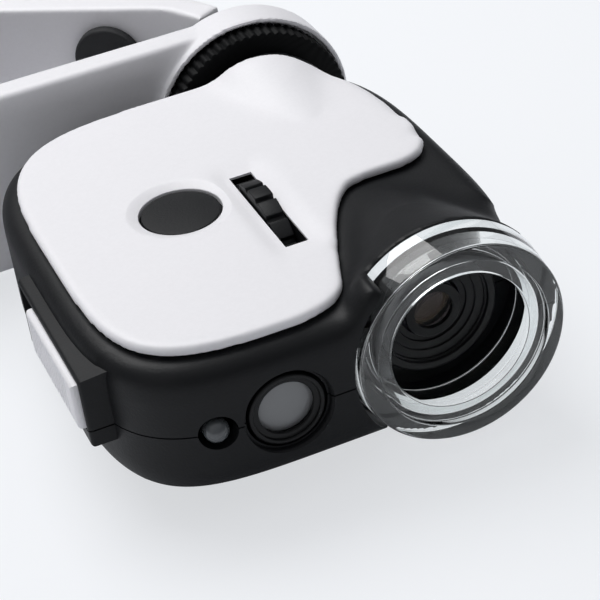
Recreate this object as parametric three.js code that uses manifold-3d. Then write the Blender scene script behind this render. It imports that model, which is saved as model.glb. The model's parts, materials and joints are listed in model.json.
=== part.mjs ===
// Clip-on phone microscope: a small case with a focus wheel, a clear cup, a torch and a sprung phone clip.
// Millimetres, Z up. The optical axis runs along Y: the specimen side looks to -Y and the phone is at +Y.
// Every piece is drawn with the middle of the cup's front rim at zero; the last lines move the whole model
// so that zero is under the middle of its box, on the surface that it stands on.
import * as THREE from 'three';
import { mergeVertices } from 'three/addons/utils/BufferGeometryUtils.js';
import Module from 'manifold-3d';

const wasm = await Module();
wasm.setup();

// Fits that many pieces share
const gap = 0.3;
const overrun = 3;
const roundSteps = 32;
const smallSteps = 16;
const arcSteps = 10;

// Body shells; right and front are where the case's right side and front face lie
const body = {
  right: 14, front: 0.3, halfWidth: 29, halfLength: 32.3, squareness: 3.6, outlineSteps: 48,
  top: 8.5, bottom: -11, parting: -1, edgeRound: 2.8, edgeSteps: 2, wall: 1.8, ceiling: 1.6, floor: 1.9,
};
const bodyX = body.right - body.halfWidth;
const bodyY = body.front + body.halfLength;
const bodyLeft = bodyX - body.halfWidth;
const bodyBack = bodyY + body.halfLength;

// Conical nose round the objective, with the pocket that the cup seats in
const nose = {
  frontRadius: 14.4, front: 5.8, backRadius: 8.6, back: 27, pocketRadius: 14.6, pocketWall: 1.5,
  boreRadius: 12, boreBack: 11, bulkhead: 1.6, throatRadius: 7,
};

// Shoulder that wraps the cup's left side, between two angles round the optical axis
const shroud = { shoulder: 4.5, back: 8.5, fromDeg: 131, toDeg: 205 };

// Round housing of the eyepiece at the back corner
const boss = {
  boreRadius: 9.6, wall: 1.7, length: 28.9, frontRadius: 7.4, taperLength: 24, boreLength: 9.4,
};
const bossRadius = boss.boreRadius + boss.wall;
const bossFront = bodyBack - boss.length;

// White cover plate on the top shell
const plate = {
  sideMargin: 2.5, endMargin: 2.3, thickness: 1.4, edgeRound: 0.7, edgeSteps: 2, noseMargin: 0.8,
  humpWall: 1.2,
  holeLeftOfMiddle: 8.2, holeBehindMiddle: 0.7, holeRadius: 5.5, holeFlare: 1.5, holeFlareDepth: 0.66,
  bayBack: 27.9, bayLobeX: 4.4,
  lobeEndY: 35.5,
  flareX: -20.5, flareY: 7.6, flarePullX: -13.2, flarePullY: 3.1,
};

// Clear cup that is pushed into the nose
const cup = {
  frontRadius: 13.7, rearRadius: 14.3, length: 5.5, boreRadius: 9.35, ledgeRadius: 11.45, ledgeDepth: 0.9,
  frontWall: 1.1, innerRadius: 11, spigotRadius: 11.7, spigotLength: 2.3,
};

// Focusing tube, with the wheel and pinion on its stub axle
const focusTravel = 4.5;
const barrel = {
  radius: 5.6, bore: 4.4, back: 42, hoodRadius: 8.6, hoodFront: 8.2, hoodLength: 2.4, hoodLip: 1.1,
  hoodDish: 0.5,
  cellBore: 4.1, cellBack: 11.5, shoulder: 0.8, aperture: 2.6,
};
const guide = { wall: 0.8, front: 13.2, back: 35, saddleWidth: 3, saddleInset: 2.5, slotMargin: 0.7 };
const axle = { radius: 1.2, y: 29.6, rootDepth: 0.7, tipLength: 0.7 };
const wheel = {
  x: -13.35, radius: 11.2, width: 2.5, bumps: 20, stepsPerBump: 4, bumpDepth: 0.55, rimWidth: 2.4,
  webWidth: 1.5,
  hubRadius: 3,
};
const slot = { width: 3.1, rearMargin: 0.37 };
const scoop = { side: 1.7, run: 3.6, depth: 0.5 };
const pinion = { teeth: 12, module: 0.5, width: 2.4, tipClearance: 0.18, rootClearance: 0.1, backlash: 0.2 };
const rack = { endMargin: 2.6, tipShare: 0.45 };

// Lenses; what sits in the eyepiece is measured back from the field lens or forward from the case's back
const lens = {
  frontThickness: 1.7, rearThickness: 1.5, rearInset: 3.5, fieldInset: 1.5, fieldThickness: 2.4,
  eyeThickness: 4,
  edgeShare: 0.45, ringWidth: 1.2, ringThickness: 0.7, eyeRingThickness: 1.4, eyeBehindCase: 0.5,
};
const eyepiece = {
  frontBeforeBack: 18.9, stepBeforeBack: 8.9, frontRadius: 6.6, frontWall: 1, rearWall: 1.4, sink: 0.4,
};

// Lights, switch and battery; places are measured from the case's front, back or left side
const torch = {
  x: -23.2, holeRadius: 5.6, sleeveWall: 0.9, inset: 0.6, length: 9.6, stepDepth: 0.4, stepRadius: 4.3,
  lipThickness: 0.5, viewRadius: 3.55, lensThickness: 1.9,
};
const bulb = { radius: 2.5, flangeRadius: 2.9, flange: 1, length: 5.6, inset: 7.2 };
const led = {
  fromLeft: 12, radius: 1.6, flangeRadius: 1.9, flange: 0.9, length: 6.8, inset: 0.1,
  holeRadius: 2.4, sink: 1.8,
};
const specimenLed = { angleDeg: 222, ringRadius: 10.3, front: 8.3, radius: 1.5, length: 5.2 };
const board = { fromLeft: 4.1, width: 22.4, inset: 13.2, length: 19.5, belowParting: 4.6, thickness: 1 };
const bezel = {
  depth: 1.5, inset: 9.2, length: 25.5, top: 6.4, bottom: -3.3, rim: 0.6, bottomRim: 2.1, edgeRound: 0.8,
};
const slider = {
  length: 18.6, height: 6.4, thickness: 1.8, topGap: 0.3, endGap: 0.4,
  tongueLength: 5, tongueHeight: 2.6, tongueReach: 4, proud: 0.9,
};
const switchCan = { fromLeft: 3.8, width: 3.6, height: 8.6, length: 14, inset: 14.7 };
const cell = {
  radius: 5.8, thickness: 3.05, count: 3, spacing: 0.3, fromLeft: 14.4, fromBack: 21.4, lift: 0.7,
};
const contact = { thickness: 0.4, width: 8, height: 8.6 };
const bay = { wall: 1.1, margin: 1, rimDrop: 0.5 };
const door = { skin: 0.9, ledge: 1.1, lip: 1.2, gripWidth: 7, gripDepth: 0.45, gripPitch: 1.6, grips: 3 };

// Case screws, driven from below into the top shell
const screw = {
  headRadius: 1.9, headHeight: 1.4, shankRadius: 1, sink: 0.5, tipRoom: 5.4, postRadius: 2.9,
  crossWidth: 0.55,
  crossLength: 2.4, crossDepth: 0.8,
};
const screwInset = {
  frontLeftX: 5.6, frontLeftY: 9.9, backLeftX: 5.9, backLeftY: 11.2,
  bossX: 2.9, bossY: 6, rightX: 4.1, rightY: 3.4,
};
const screwPlaces = [
  [bodyLeft + screwInset.frontLeftX, body.front + screwInset.frontLeftY],
  [bodyLeft + screwInset.backLeftX, bodyBack - screwInset.backLeftY],
  [-bossRadius - screwInset.bossX, bodyBack - screwInset.bossY],
  [body.right - screwInset.rightX, bodyY + screwInset.rightY],
];

// Clip: a front jaw that goes round the eyepiece, and a sprung rear jaw on a hinge pin
const collar = { wall: 1.4, inset: 1.7, slots: 4, slotWidth: 1.2 };
const ring = { clearance: 0.35, wall: 2.65, inset: 0.4, lip: 1, teeth: 66, toothDepth: 0.35 };
const jaw = {
  behindCase: 4.5, thickness: 4.6, discMargin: 1.6, halfHeight: 14, wall: 2, edgeRound: 0.8,
  handleEnd: -83, handleTaperX: -66,
};
const frontPad = { margin: 1.1, width: 3.3, proud: 0.8, recess: 0.6 };
const hinge = {
  x: -57, rise: 11, pinRadius: 1.8, headRadius: 2.6, headHeight: 0.8, earRadius: 4.4,
  earThickness: 2.3, earTop: 10.6,
};
const spring = {
  wire: 1.1, radius: 3.2, fullCurls: 4, pitch: 1.9, stepsPerCurl: 8, sides: 5,
  frontLegAngleDeg: -48.6, frontLegLength: 15.2, rearLegAngleDeg: 80.2, rearLegLength: 9,
};
const rearJaw = {
  tipX: -4, tipGap: 0.4, hookRise: 6.1, hookRun: 3.2, slopeRun: 26.6, slopeRise: 18.5, crownRun: 9,
  waistRise: 5.4, waistBefore: 3, waistAfter: 5, endRise: 9, endX: -84, flange: 4.4, wall: 2,
  halfHeight: 14,
  hookBend: 2.2, crownBend: 4, waistBend: 4.5, bendSteps: 4,
};
const rearPad = { length: 10.4, height: 22.6, thickness: 1.4, fromHook: 4.6 };

// Colours, roughness and metalness of the finishes
const finish = {
  blackPlastic: new THREE.MeshStandardMaterial({ color: 0x28292b, roughness: 0.55, metalness: 0 }),
  whitePlastic: new THREE.MeshStandardMaterial({ color: 0xe9e8eb, roughness: 0.4, metalness: 0 }),
  clearPlastic: new THREE.MeshStandardMaterial({ color: 0xdfe6ea, roughness: 0.05, metalness: 0 }),
  glass: new THREE.MeshStandardMaterial({ color: 0xcfd8dc, roughness: 0.03, metalness: 0 }),
  rubber: new THREE.MeshStandardMaterial({ color: 0x161617, roughness: 0.85, metalness: 0 }),
  steel: new THREE.MeshStandardMaterial({ color: 0xb9bcc0, roughness: 0.3, metalness: 1 }),
  brass: new THREE.MeshStandardMaterial({ color: 0xc9a55a, roughness: 0.35, metalness: 1 }),
  board: new THREE.MeshStandardMaterial({ color: 0x1f5b3a, roughness: 0.6, metalness: 0 }),
};

// Solids from closed meshes, and meshes from solids
function solidOf(geometry) {
  const bare = geometry.clone();
  bare.deleteAttribute('normal');
  bare.deleteAttribute('uv');
  const merged = mergeVertices(bare, 1e-4);
  const vertProperties = Float32Array.from(merged.attributes.position.array);
  const triVerts = Uint32Array.from(merged.index.array);
  return new wasm.Manifold(new wasm.Mesh({ numProp: 3, vertProperties, triVerts }));
}

function geometryOf(solid) {
  const mesh = solid.getMesh();
  const geometry = new THREE.BufferGeometry();
  geometry.setAttribute('position', new THREE.BufferAttribute(Float32Array.from(mesh.vertProperties), 3));
  geometry.setIndex(new THREE.BufferAttribute(Uint32Array.from(mesh.triVerts), 1));
  geometry.computeVertexNormals();
  return geometry;
}

function join(...solids) {
  return solids.reduce((sum, next) => sum.add(next));
}

function cut(base, ...tools) {
  return tools.reduce((rest, tool) => rest.subtract(tool), base);
}

// A profile of [radius, y] pairs turned about the optical axis, listed anticlockwise
function turned(profile, steps = roundSteps) {
  const closed = profile[0][0] > 0;
  const points = profile.map(([radius, y]) => new THREE.Vector2(radius, y));
  if (closed) points.push(points[0].clone());
  return solidOf(new THREE.LatheGeometry(points, steps));
}

function rod(radius, from, to, steps = roundSteps) {
  return turned([[0, from], [radius, from], [radius, to], [0, to]], steps);
}

function tube(inner, outer, from, to, steps = roundSteps) {
  return turned([[inner, from], [outer, from], [outer, to], [inner, to]], steps);
}

// The same about a line along X or Z through a point, instead of about the optical axis
function alongX(solid, y, z) {
  return solid.rotate([0, 0, -90]).translate([0, y, z]);
}

function alongZ(solid, x, y) {
  return solid.rotate([90, 0, 0]).translate([x, y, 0]);
}

function block(x0, x1, y0, y1, z0, z1) {
  const geometry = new THREE.BoxGeometry(x1 - x0, y1 - y0, z1 - z0);
  geometry.translate((x0 + x1) / 2, (y0 + y1) / 2, (z0 + z1) / 2);
  return solidOf(geometry);
}

// A plan outline raised from z0 to z1, with its edges rounded when a radius is given
function raised(shape, z0, z1, edge = 0, edgeSteps = 1) {
  const geometry = new THREE.ExtrudeGeometry(shape, {
    depth: z1 - z0 - 2 * edge, bevelEnabled: edge > 0, bevelThickness: edge, bevelSize: edge,
    bevelOffset: -edge, bevelSegments: edgeSteps, curveSegments: arcSteps,
  });
  geometry.translate(0, 0, z0 + edge);
  return solidOf(geometry);
}

function superellipse(centreX, centreY, halfWidth, halfLength, squareness, steps) {
  const power = 2 / squareness;
  const points = Array.from({ length: steps }, (_, i) => {
    const angle = (i / steps) * 2 * Math.PI;
    const c = Math.cos(angle);
    const s = Math.sin(angle);
    return new THREE.Vector2(
      centreX + halfWidth * Math.sign(c) * Math.abs(c) ** power,
      centreY + halfLength * Math.sign(s) * Math.abs(s) ** power,
    );
  });
  return new THREE.Shape(points);
}

function bodyPrism(inset, z0, z1, edge) {
  const outline = superellipse(
    bodyX, bodyY, body.halfWidth - inset, body.halfLength - inset, body.squareness, body.outlineSteps,
  );
  return raised(outline, z0, z1, edge, body.edgeSteps);
}

function roundedBox(x0, x1, y0, y1, z0, z1, radius) {
  const shape = new THREE.Shape();
  shape.moveTo(x0 + radius, y0);
  shape.lineTo(x1 - radius, y0);
  shape.quadraticCurveTo(x1, y0, x1, y0 + radius);
  shape.lineTo(x1, y1 - radius);
  shape.quadraticCurveTo(x1, y1, x1 - radius, y1);
  shape.lineTo(x0 + radius, y1);
  shape.quadraticCurveTo(x0, y1, x0, y1 - radius);
  shape.lineTo(x0, y0 + radius);
  shape.quadraticCurveTo(x0, y0, x0 + radius, y0);
  return raised(shape, z0, z1);
}

const microscope = new THREE.Group();

function place(name, solid, material) {
  const mesh = new THREE.Mesh(geometryOf(solid), material);
  mesh.name = name;
  microscope.add(mesh);
}

// A shape drawn in Y and Z given its width along X, and one drawn in X and Z given its depth along Y
function acrossX(shape, x0, x1) {
  return raised(shape, x0, x1).rotate([90, 0, 90]);
}

function acrossY(shape, y0, y1, edge = 0, edgeSteps = 1) {
  return raised(shape, -y1, -y0, edge, edgeSteps).rotate([90, 0, 0]);
}

// Radius of the nose cone at a distance behind the cup's rim
function noseRadiusAt(y) {
  const share = (y - nose.front) / (nose.back - nose.front);
  return nose.frontRadius + (nose.backRadius - nose.frontRadius) * share;
}

// Case: outer form, cavity and what both shells share
const cavityTop = body.top - body.ceiling;
const cavityBottom = body.bottom + body.floor;

function bossForm(extra, back) {
  return turned([
    [0, bossFront], [boss.frontRadius + extra, bossFront],
    [bossRadius + extra, bossFront + boss.taperLength],
    [bossRadius + extra, back], [0, back],
  ]);
}

function noseForm() {
  return turned([
    [0, nose.front], [nose.frontRadius, nose.front], [nose.backRadius, nose.back], [0, nose.back],
  ]);
}

function shroudForm(extra) {
  const radius = nose.pocketRadius + nose.pocketWall + extra;
  return turned([
    [0, body.front], [radius, body.front], [radius, shroud.shoulder],
    [noseRadiusAt(shroud.back) + extra, shroud.back + extra], [0, shroud.back + extra],
  ]);
}

function shroudSector() {
  const reach = body.halfWidth;
  const corner = (deg) => new THREE.Vector2(
    reach * Math.cos((deg * Math.PI) / 180), reach * Math.sin((deg * Math.PI) / 180),
  );
  const corners = [
    new THREE.Vector2(), corner(shroud.fromDeg), new THREE.Vector2(-reach, 0), corner(shroud.toDeg),
  ];
  return acrossY(new THREE.Shape(corners), -overrun, shroud.back + overrun);
}

const plateBottom = body.top + gap;
const plateTop = plateBottom + plate.thickness;
const holeX = bodyX - plate.holeLeftOfMiddle;
const holeY = bodyY + plate.holeBehindMiddle;
const buttonTop = plateTop - plate.holeFlareDepth;
const button = alongZ(rod(plate.holeRadius - gap, cavityTop + gap, buttonTop), holeX, holeY);

const bezelOuter = bodyLeft - bezel.depth;
const bezelFront = body.front + bezel.inset;
const bezelBack = bezelFront + bezel.length;
const bezelForm = roundedBox(
  bezelOuter, bodyLeft + body.edgeRound, bezelFront, bezelBack, bezel.bottom, bezel.top, bezel.edgeRound,
);
const outerForm = join(
  bodyPrism(0, body.bottom, body.top, body.edgeRound), noseForm(), bossForm(0, bodyBack), bezelForm,
  shroudForm(0).intersect(shroudSector()), button,
);
const cavity = bodyPrism(body.wall, cavityBottom, cavityTop, body.edgeRound - body.wall);
const bulkheadBack = nose.boreBack + nose.bulkhead;
const pocketWall = rod(nose.pocketRadius + nose.pocketWall, body.front - gap, bulkheadBack)
  .intersect(bodyPrism(0, body.bottom, body.top, body.edgeRound));
const noseLining = turned([
  [0, nose.front], [noseRadiusAt(nose.front), nose.front],
  [noseRadiusAt(bulkheadBack), bulkheadBack], [0, bulkheadBack],
]);

const openingFront = bezelFront + bezel.rim;
const openingBack = bezelBack - bezel.rim;
const openingTop = bezel.top - bezel.rim;
const openingBottom = bezel.bottom + bezel.bottomRim;
const sliderTop = openingTop - slider.topGap;
const sliderMiddle = sliderTop - slider.height / 2;

const screwLow = body.bottom + screw.sink;
const screwTip = body.top - screw.tipRoom;

function screwHole(x, y) {
  const headSeat = screwLow + screw.headHeight + gap;
  return join(
    alongZ(rod(screw.headRadius + gap, body.bottom - overrun, headSeat, smallSteps), x, y),
    alongZ(rod(screw.shankRadius + gap, headSeat - gap, screwTip + gap, smallSteps), x, y),
  );
}

function screwPost(x, y) {
  return alongZ(rod(screw.postRadius, cavityBottom - gap, cavityTop + gap, smallSteps), x, y);
}

const cellX = bodyLeft + cell.fromLeft;
const cellY = bodyBack - cell.fromBack;
const cellZ = body.bottom + door.skin + door.lip + cell.lift + cell.radius;
const cellStack = cell.count * cell.thickness + (cell.count - 1) * cell.spacing;
const bayLeft = cellX - cellStack / 2 - bay.margin;
const bayRight = cellX + cellStack / 2 + bay.margin;
const bayFront = cellY - cell.radius - gap;
const bayBack = cellY + cell.radius + gap;
const bayTop = body.parting - bay.rimDrop;
const bayWalls = cut(
  block(
    bayLeft - bay.wall, bayRight + bay.wall, bayFront - bay.wall, bayBack + bay.wall,
    cavityBottom - gap, bayTop,
  ),
  block(bayLeft, bayRight, bayFront, bayBack, cavityBottom - overrun, bayTop + overrun),
);
const doorHole = join(
  block(bayLeft, bayRight, bayFront, bayBack, body.bottom - overrun, cavityBottom + gap),
  block(
    bayLeft - door.ledge, bayRight + door.ledge, bayFront - door.ledge, bayBack + door.ledge,
    body.bottom - overrun, body.bottom + door.skin + gap,
  ),
);

// Slot from z0 to z1, as long as the travelling wheel needs at one level
function slotEnds(level, rearMargin = 0) {
  const chord = Math.sqrt(wheel.radius ** 2 - level ** 2) + gap;
  return [axle.y - focusTravel - chord, axle.y + chord + rearMargin];
}

function wheelSlot(level, z0, z1, rearMargin = 0) {
  const half = slot.width / 2;
  return block(wheel.x - half, wheel.x + half, ...slotEnds(level, rearMargin), z0, z1);
}

const torchFront = body.front + torch.inset;
const ledX = bodyLeft + led.fromLeft;
const ledFront = body.front + led.inset;
const outside = body.front - overrun;
const atLamp = (solid, x) => solid.translate([x, 0, body.parting]);
const torchHole = atLamp(rod(torch.holeRadius, outside, torchFront + gap), torch.x);
const torchBore = atLamp(rod(torch.holeRadius - gap, body.front, body.front + body.wall + overrun), torch.x);
const ledHole = atLamp(turned([
  [0, outside], [led.holeRadius + overrun / 2, outside], [led.holeRadius, ledFront - led.sink / 2],
  [led.radius + gap, ledFront + led.sink], [led.radius + gap, ledFront + led.sink + overrun],
  [0, ledFront + led.sink + overrun],
], smallSteps), ledX);
const specimenAngle = (specimenLed.angleDeg * Math.PI) / 180;
const specimenX = specimenLed.ringRadius * Math.cos(specimenAngle);
const specimenZ = specimenLed.ringRadius * Math.sin(specimenAngle);
const specimenHole = rod(specimenLed.radius + gap, nose.boreBack - overrun, bulkheadBack + overrun, smallSteps)
  .translate([specimenX, 0, specimenZ]);

const saddleTop = -(barrel.radius + gap + guide.wall);
const saddleHalf = barrel.radius + guide.wall;
const saddles = [guide.front + guide.saddleInset, guide.back - guide.saddleInset].map((y) => block(
  -saddleHalf, saddleHalf, y - guide.saddleWidth / 2, y + guide.saddleWidth / 2,
  cavityBottom - gap, saddleTop / 2 - guide.wall,
));
const guideRoom = rod(barrel.radius + 2 * gap + guide.wall, guide.front - gap, guide.back + gap);

const caseSolid = cut(
  join(
    cut(outerForm, cavity), pocketWall, noseLining, bayWalls, ...saddles,
    ...screwPlaces.map(([x, y]) => screwPost(x, y)),
  ),
  rod(nose.pocketRadius, outside, nose.front),
  rod(nose.boreRadius, nose.front - overrun, nose.boreBack),
  rod(nose.throatRadius, nose.boreBack - overrun, bulkheadBack + overrun),
  rod(boss.boreRadius, bodyBack - boss.boreLength, bodyBack + overrun),
  wheelSlot(cavityTop, 0, body.top + overrun), wheelSlot(cavityBottom, body.bottom - overrun, 0),
  guideRoom, torchHole, torchBore, ledHole, specimenHole, doorHole,
  block(
    bezelOuter - overrun, bodyLeft + body.wall + overrun / 2,
    openingFront, openingBack, openingBottom, openingTop,
  ),
  ...screwPlaces.map(([x, y]) => screwHole(x, y)),
);

// The part of the case between two levels
function caseBetween(z0, z1) {
  const around = body.halfWidth + body.halfLength;
  return caseSolid.intersect(block(bodyX - around, bodyX + around, bodyY - around, bodyY + around, z0, z1));
}
const caseReach = nose.pocketRadius + overrun;
place('lower_shell', caseBetween(-caseReach, body.parting - gap / 2), finish.blackPlastic);
place('upper_shell', caseBetween(body.parting + gap / 2, caseReach), finish.blackPlastic);

// Cover plate, cut back round the nose and humped over the eyepiece housing

function plateBay() {
  const shape = new THREE.Shape();
  const edgeX = (y) => -Math.sqrt(Math.max(noseRadiusAt(y) ** 2 - body.top ** 2, 0)) - plate.noseMargin;
  const last = plate.bayBack - plate.noseMargin * 2;
  const right = body.right - plate.sideMargin;
  shape.moveTo(plate.flareX - overrun, outside);
  shape.lineTo(plate.flareX, body.front + plate.endMargin);
  shape.quadraticCurveTo(plate.flarePullX, plate.flarePullY, edgeX(plate.flareY), plate.flareY);
  const reachShares = [0.25, 0.5, 0.75, 1];
  for (const share of reachShares) {
    const y = plate.flareY + (last - plate.flareY) * share;
    shape.lineTo(edgeX(y), y);
  }
  shape.quadraticCurveTo(
    edgeX(last) + plate.noseMargin, plate.bayBack, plate.bayLobeX - plate.noseMargin, plate.bayBack,
  );
  shape.lineTo(plate.bayLobeX, plate.bayBack);
  shape.quadraticCurveTo(right - gap, plate.bayBack - gap, right - gap, plate.lobeEndY);
  shape.lineTo(right + overrun, plate.lobeEndY);
  shape.lineTo(right + overrun, outside);
  return raised(shape, plateBottom - overrun, plateTop + overrun);
}

const plateOutline = superellipse(
  bodyX, bodyY, body.halfWidth - plate.sideMargin, body.halfLength - plate.endMargin,
  body.squareness, body.outlineSteps,
);
const flatPlate = raised(plateOutline, plateBottom, plateTop, plate.edgeRound, plate.edgeSteps);
const hump = bossForm(gap + plate.humpWall, bodyBack - plate.endMargin - plate.edgeRound)
  .intersect(raised(plateOutline, plateBottom, bossRadius + plate.humpWall + overrun));
const plateHole = alongZ(turned([
  [0, plateBottom - overrun], [plate.holeRadius, plateBottom - overrun],
  [plate.holeRadius, buttonTop],
  [plate.holeRadius + plate.holeFlare, plateTop], [plate.holeRadius + plate.holeFlare, plateTop + overrun],
  [0, plateTop + overrun],
]), holeX, holeY);

// Shallow scoop for the finger round the wheel's slot, with a ramp at each end
function plateScoop() {
  const [slotFront, slotBack] = slotEnds(plateBottom, slot.rearMargin);
  const front = slotFront - scoop.run;
  const back = slotBack + scoop.run;
  const shape = new THREE.Shape([
    new THREE.Vector2(front, plateTop), new THREE.Vector2(slotFront, plateTop - scoop.depth),
    new THREE.Vector2(slotBack, plateTop - scoop.depth), new THREE.Vector2(back, plateTop),
    new THREE.Vector2(back, plateTop + overrun), new THREE.Vector2(front, plateTop + overrun),
  ]);
  const half = slot.width / 2 + scoop.side;
  return acrossX(shape, wheel.x - half, wheel.x + half);
}

const coverPlate = cut(
  join(flatPlate, hump), bossForm(gap, bodyBack + overrun), plateBay(), plateHole, plateScoop(),
  shroudForm(gap),
  wheelSlot(plateBottom, plateBottom - overrun, plateTop + overrun, slot.rearMargin),
);
place('cover_plate', coverPlate, finish.whitePlastic);

// Clear cup
place('clear_cup', turned([
  [cup.boreRadius, cup.ledgeDepth], [cup.ledgeRadius, cup.ledgeDepth], [cup.ledgeRadius, 0],
  [cup.frontRadius, 0],
  [cup.rearRadius, cup.length], [cup.spigotRadius, cup.length],
  [cup.spigotRadius, cup.length + cup.spigotLength],
  [cup.innerRadius, cup.length + cup.spigotLength], [cup.innerRadius, cup.ledgeDepth + cup.frontWall],
  [cup.boreRadius, cup.ledgeDepth + cup.frontWall],
]), finish.clearPlastic);

// Focusing tube in its guide
const hoodBack = barrel.hoodFront + barrel.hoodLength;
const hoodFloor = barrel.hoodFront + barrel.hoodDish;
const axleHole = alongX(
  rod(axle.radius + gap, -barrel.radius - overrun, overrun - barrel.bore, smallSteps), axle.y, 0,
);
place('objective_barrel', cut(turned([
  [barrel.cellBore, hoodFloor], [barrel.hoodRadius - barrel.hoodLip, hoodFloor],
  [barrel.hoodRadius - barrel.hoodLip, barrel.hoodFront], [barrel.hoodRadius, barrel.hoodFront],
  [barrel.hoodRadius, hoodBack], [barrel.radius, hoodBack], [barrel.radius, barrel.back],
  [barrel.bore, barrel.back], [barrel.bore, barrel.cellBack + barrel.shoulder],
  [barrel.aperture, barrel.cellBack + barrel.shoulder], [barrel.aperture, barrel.cellBack],
  [barrel.cellBore, barrel.cellBack],
]), axleHole), finish.blackPlastic);

const guideInner = barrel.radius + gap;
const slotMargin = axle.radius + gap + guide.slotMargin;
place('guide_tube', cut(
  tube(guideInner, guideInner + guide.wall, guide.front, guide.back),
  block(
    -guideInner - guide.wall - overrun, 0, axle.y - focusTravel - slotMargin, axle.y + slotMargin,
    -slotMargin, slotMargin,
  ),
), finish.blackPlastic);

// Focus wheel on its axle, its pinion and the rack in the bottom shell
const wheelLeft = wheel.x - wheel.width / 2;
const wheelRight = wheel.x + wheel.width / 2;
place('wheel_axle', alongX(
  rod(axle.radius, wheelLeft - axle.tipLength, axle.rootDepth - barrel.radius, smallSteps), axle.y, 0,
), finish.steel);

function bumpyDisc() {
  const steps = wheel.bumps * wheel.stepsPerBump;
  const points = Array.from({ length: steps }, (_, i) => {
    const angle = (i / steps) * 2 * Math.PI;
    const dip = (1 - Math.abs(Math.cos((wheel.bumps * angle) / 2))) * wheel.bumpDepth;
    const radius = wheel.radius - dip;
    return new THREE.Vector2(radius * Math.cos(angle), radius * Math.sin(angle));
  });
  return acrossX(new THREE.Shape(points), wheelLeft, wheelRight);
}

const sideDish = (wheel.width - wheel.webWidth) / 2;
const dish = (x0, x1) => alongX(tube(wheel.hubRadius, wheel.radius - wheel.rimWidth, x0, x1), 0, 0);
place('focus_wheel', cut(
  bumpyDisc(),
  dish(wheelLeft - overrun, wheelLeft + sideDish), dish(wheelRight - sideDish, wheelRight + overrun),
  alongX(rod(axle.radius + gap, wheelLeft - overrun, wheelRight + overrun, smallSteps), 0, 0),
).translate([0, axle.y, 0]), finish.blackPlastic);

const pitchRadius = (pinion.teeth * pinion.module) / 2;
const toothPitch = Math.PI * pinion.module;
const tipHeight = pinion.module - pinion.tipClearance;
const rootDepth = pinion.module + pinion.rootClearance;
const halfTooth = toothPitch / 4 - pinion.backlash / 2;
const tipHalf = halfTooth * rack.tipShare;
const rootHalf = toothPitch / 2 - tipHalf;

function pinionShape() {
  const points = [];
  for (let i = 0; i < pinion.teeth; i += 1) {
    const middle = ((i + 0.5) / pinion.teeth) * 2 * Math.PI - Math.PI / 2;
    const tip = pitchRadius + tipHeight;
    const root = pitchRadius - rootDepth;
    const corners = [[root, -halfTooth], [tip, -tipHalf], [tip, tipHalf], [root, halfTooth]];
    corners.forEach(([radius, along]) => {
      const angle = middle + along / pitchRadius;
      points.push(new THREE.Vector2(radius * Math.cos(angle), radius * Math.sin(angle)));
    });
  }
  return new THREE.Shape(points);
}

const pinionRight = wheelRight + gap + pinion.width;
place('focus_pinion', cut(
  acrossX(pinionShape(), wheelRight + gap, pinionRight),
  alongX(rod(axle.radius + gap, wheelRight - overrun, pinionRight + overrun, smallSteps), 0, 0),
).translate([0, axle.y, 0]), finish.brass);

function rackShape() {
  const shape = new THREE.Shape();
  const start = axle.y - focusTravel - rack.endMargin;
  const end = axle.y + rack.endMargin;
  const foot = cavityBottom + gap;
  const low = -pitchRadius - rootDepth;
  const high = -pitchRadius + tipHeight;
  shape.moveTo(end, foot);
  shape.lineTo(end, low);
  const first = Math.floor((end - axle.y - rootHalf) / toothPitch);
  for (let i = first; axle.y + i * toothPitch - rootHalf > start; i -= 1) {
    const middle = axle.y + i * toothPitch;
    shape.lineTo(middle + halfTooth, low);
    shape.lineTo(middle + tipHalf, high);
    shape.lineTo(middle - tipHalf, high);
    shape.lineTo(middle - halfTooth, low);
  }
  shape.lineTo(start, low);
  shape.lineTo(start, foot);
  return shape;
}
place('focus_rack', acrossX(rackShape(), wheelRight + gap, pinionRight), finish.brass);

// Lenses: biconvex discs with a thin edge, and the rings that hold them
const lensShares = [0.6, 1];
function lensForm(radius, front, thickness) {
  const edge = thickness * lens.edgeShare;
  const bulge = (thickness - edge) / 2;
  const profile = [[0, front]];
  const rise = (share) => bulge * (1 - share * share);
  lensShares.forEach((share) => {
    profile.push([radius * share, front + bulge - rise(share)]);
  });
  lensShares.toReversed().forEach((share) => {
    profile.push([radius * share, front + thickness - bulge + rise(share)]);
  });
  profile.push([0, front + thickness]);
  return turned(profile, smallSteps);
}

const cellRadius = barrel.cellBore - gap;
const objectiveFront = barrel.cellBack - gap - lens.frontThickness;
place('objective_lens', lensForm(cellRadius, objectiveFront, lens.frontThickness), finish.glass);
place('objective_ring', tube(
  barrel.aperture, cellRadius, objectiveFront - gap - lens.ringThickness, objectiveFront - gap, smallSteps,
), finish.brass);
const relayRadius = barrel.bore - gap;
const relayBack = barrel.back - lens.rearInset;
place('relay_lens', lensForm(relayRadius, relayBack - lens.rearThickness, lens.rearThickness), finish.glass);
place('relay_ring', tube(
  relayRadius - lens.ringWidth, relayRadius, relayBack + gap, relayBack + gap + lens.ringThickness,
  smallSteps,
), finish.blackPlastic);

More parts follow.
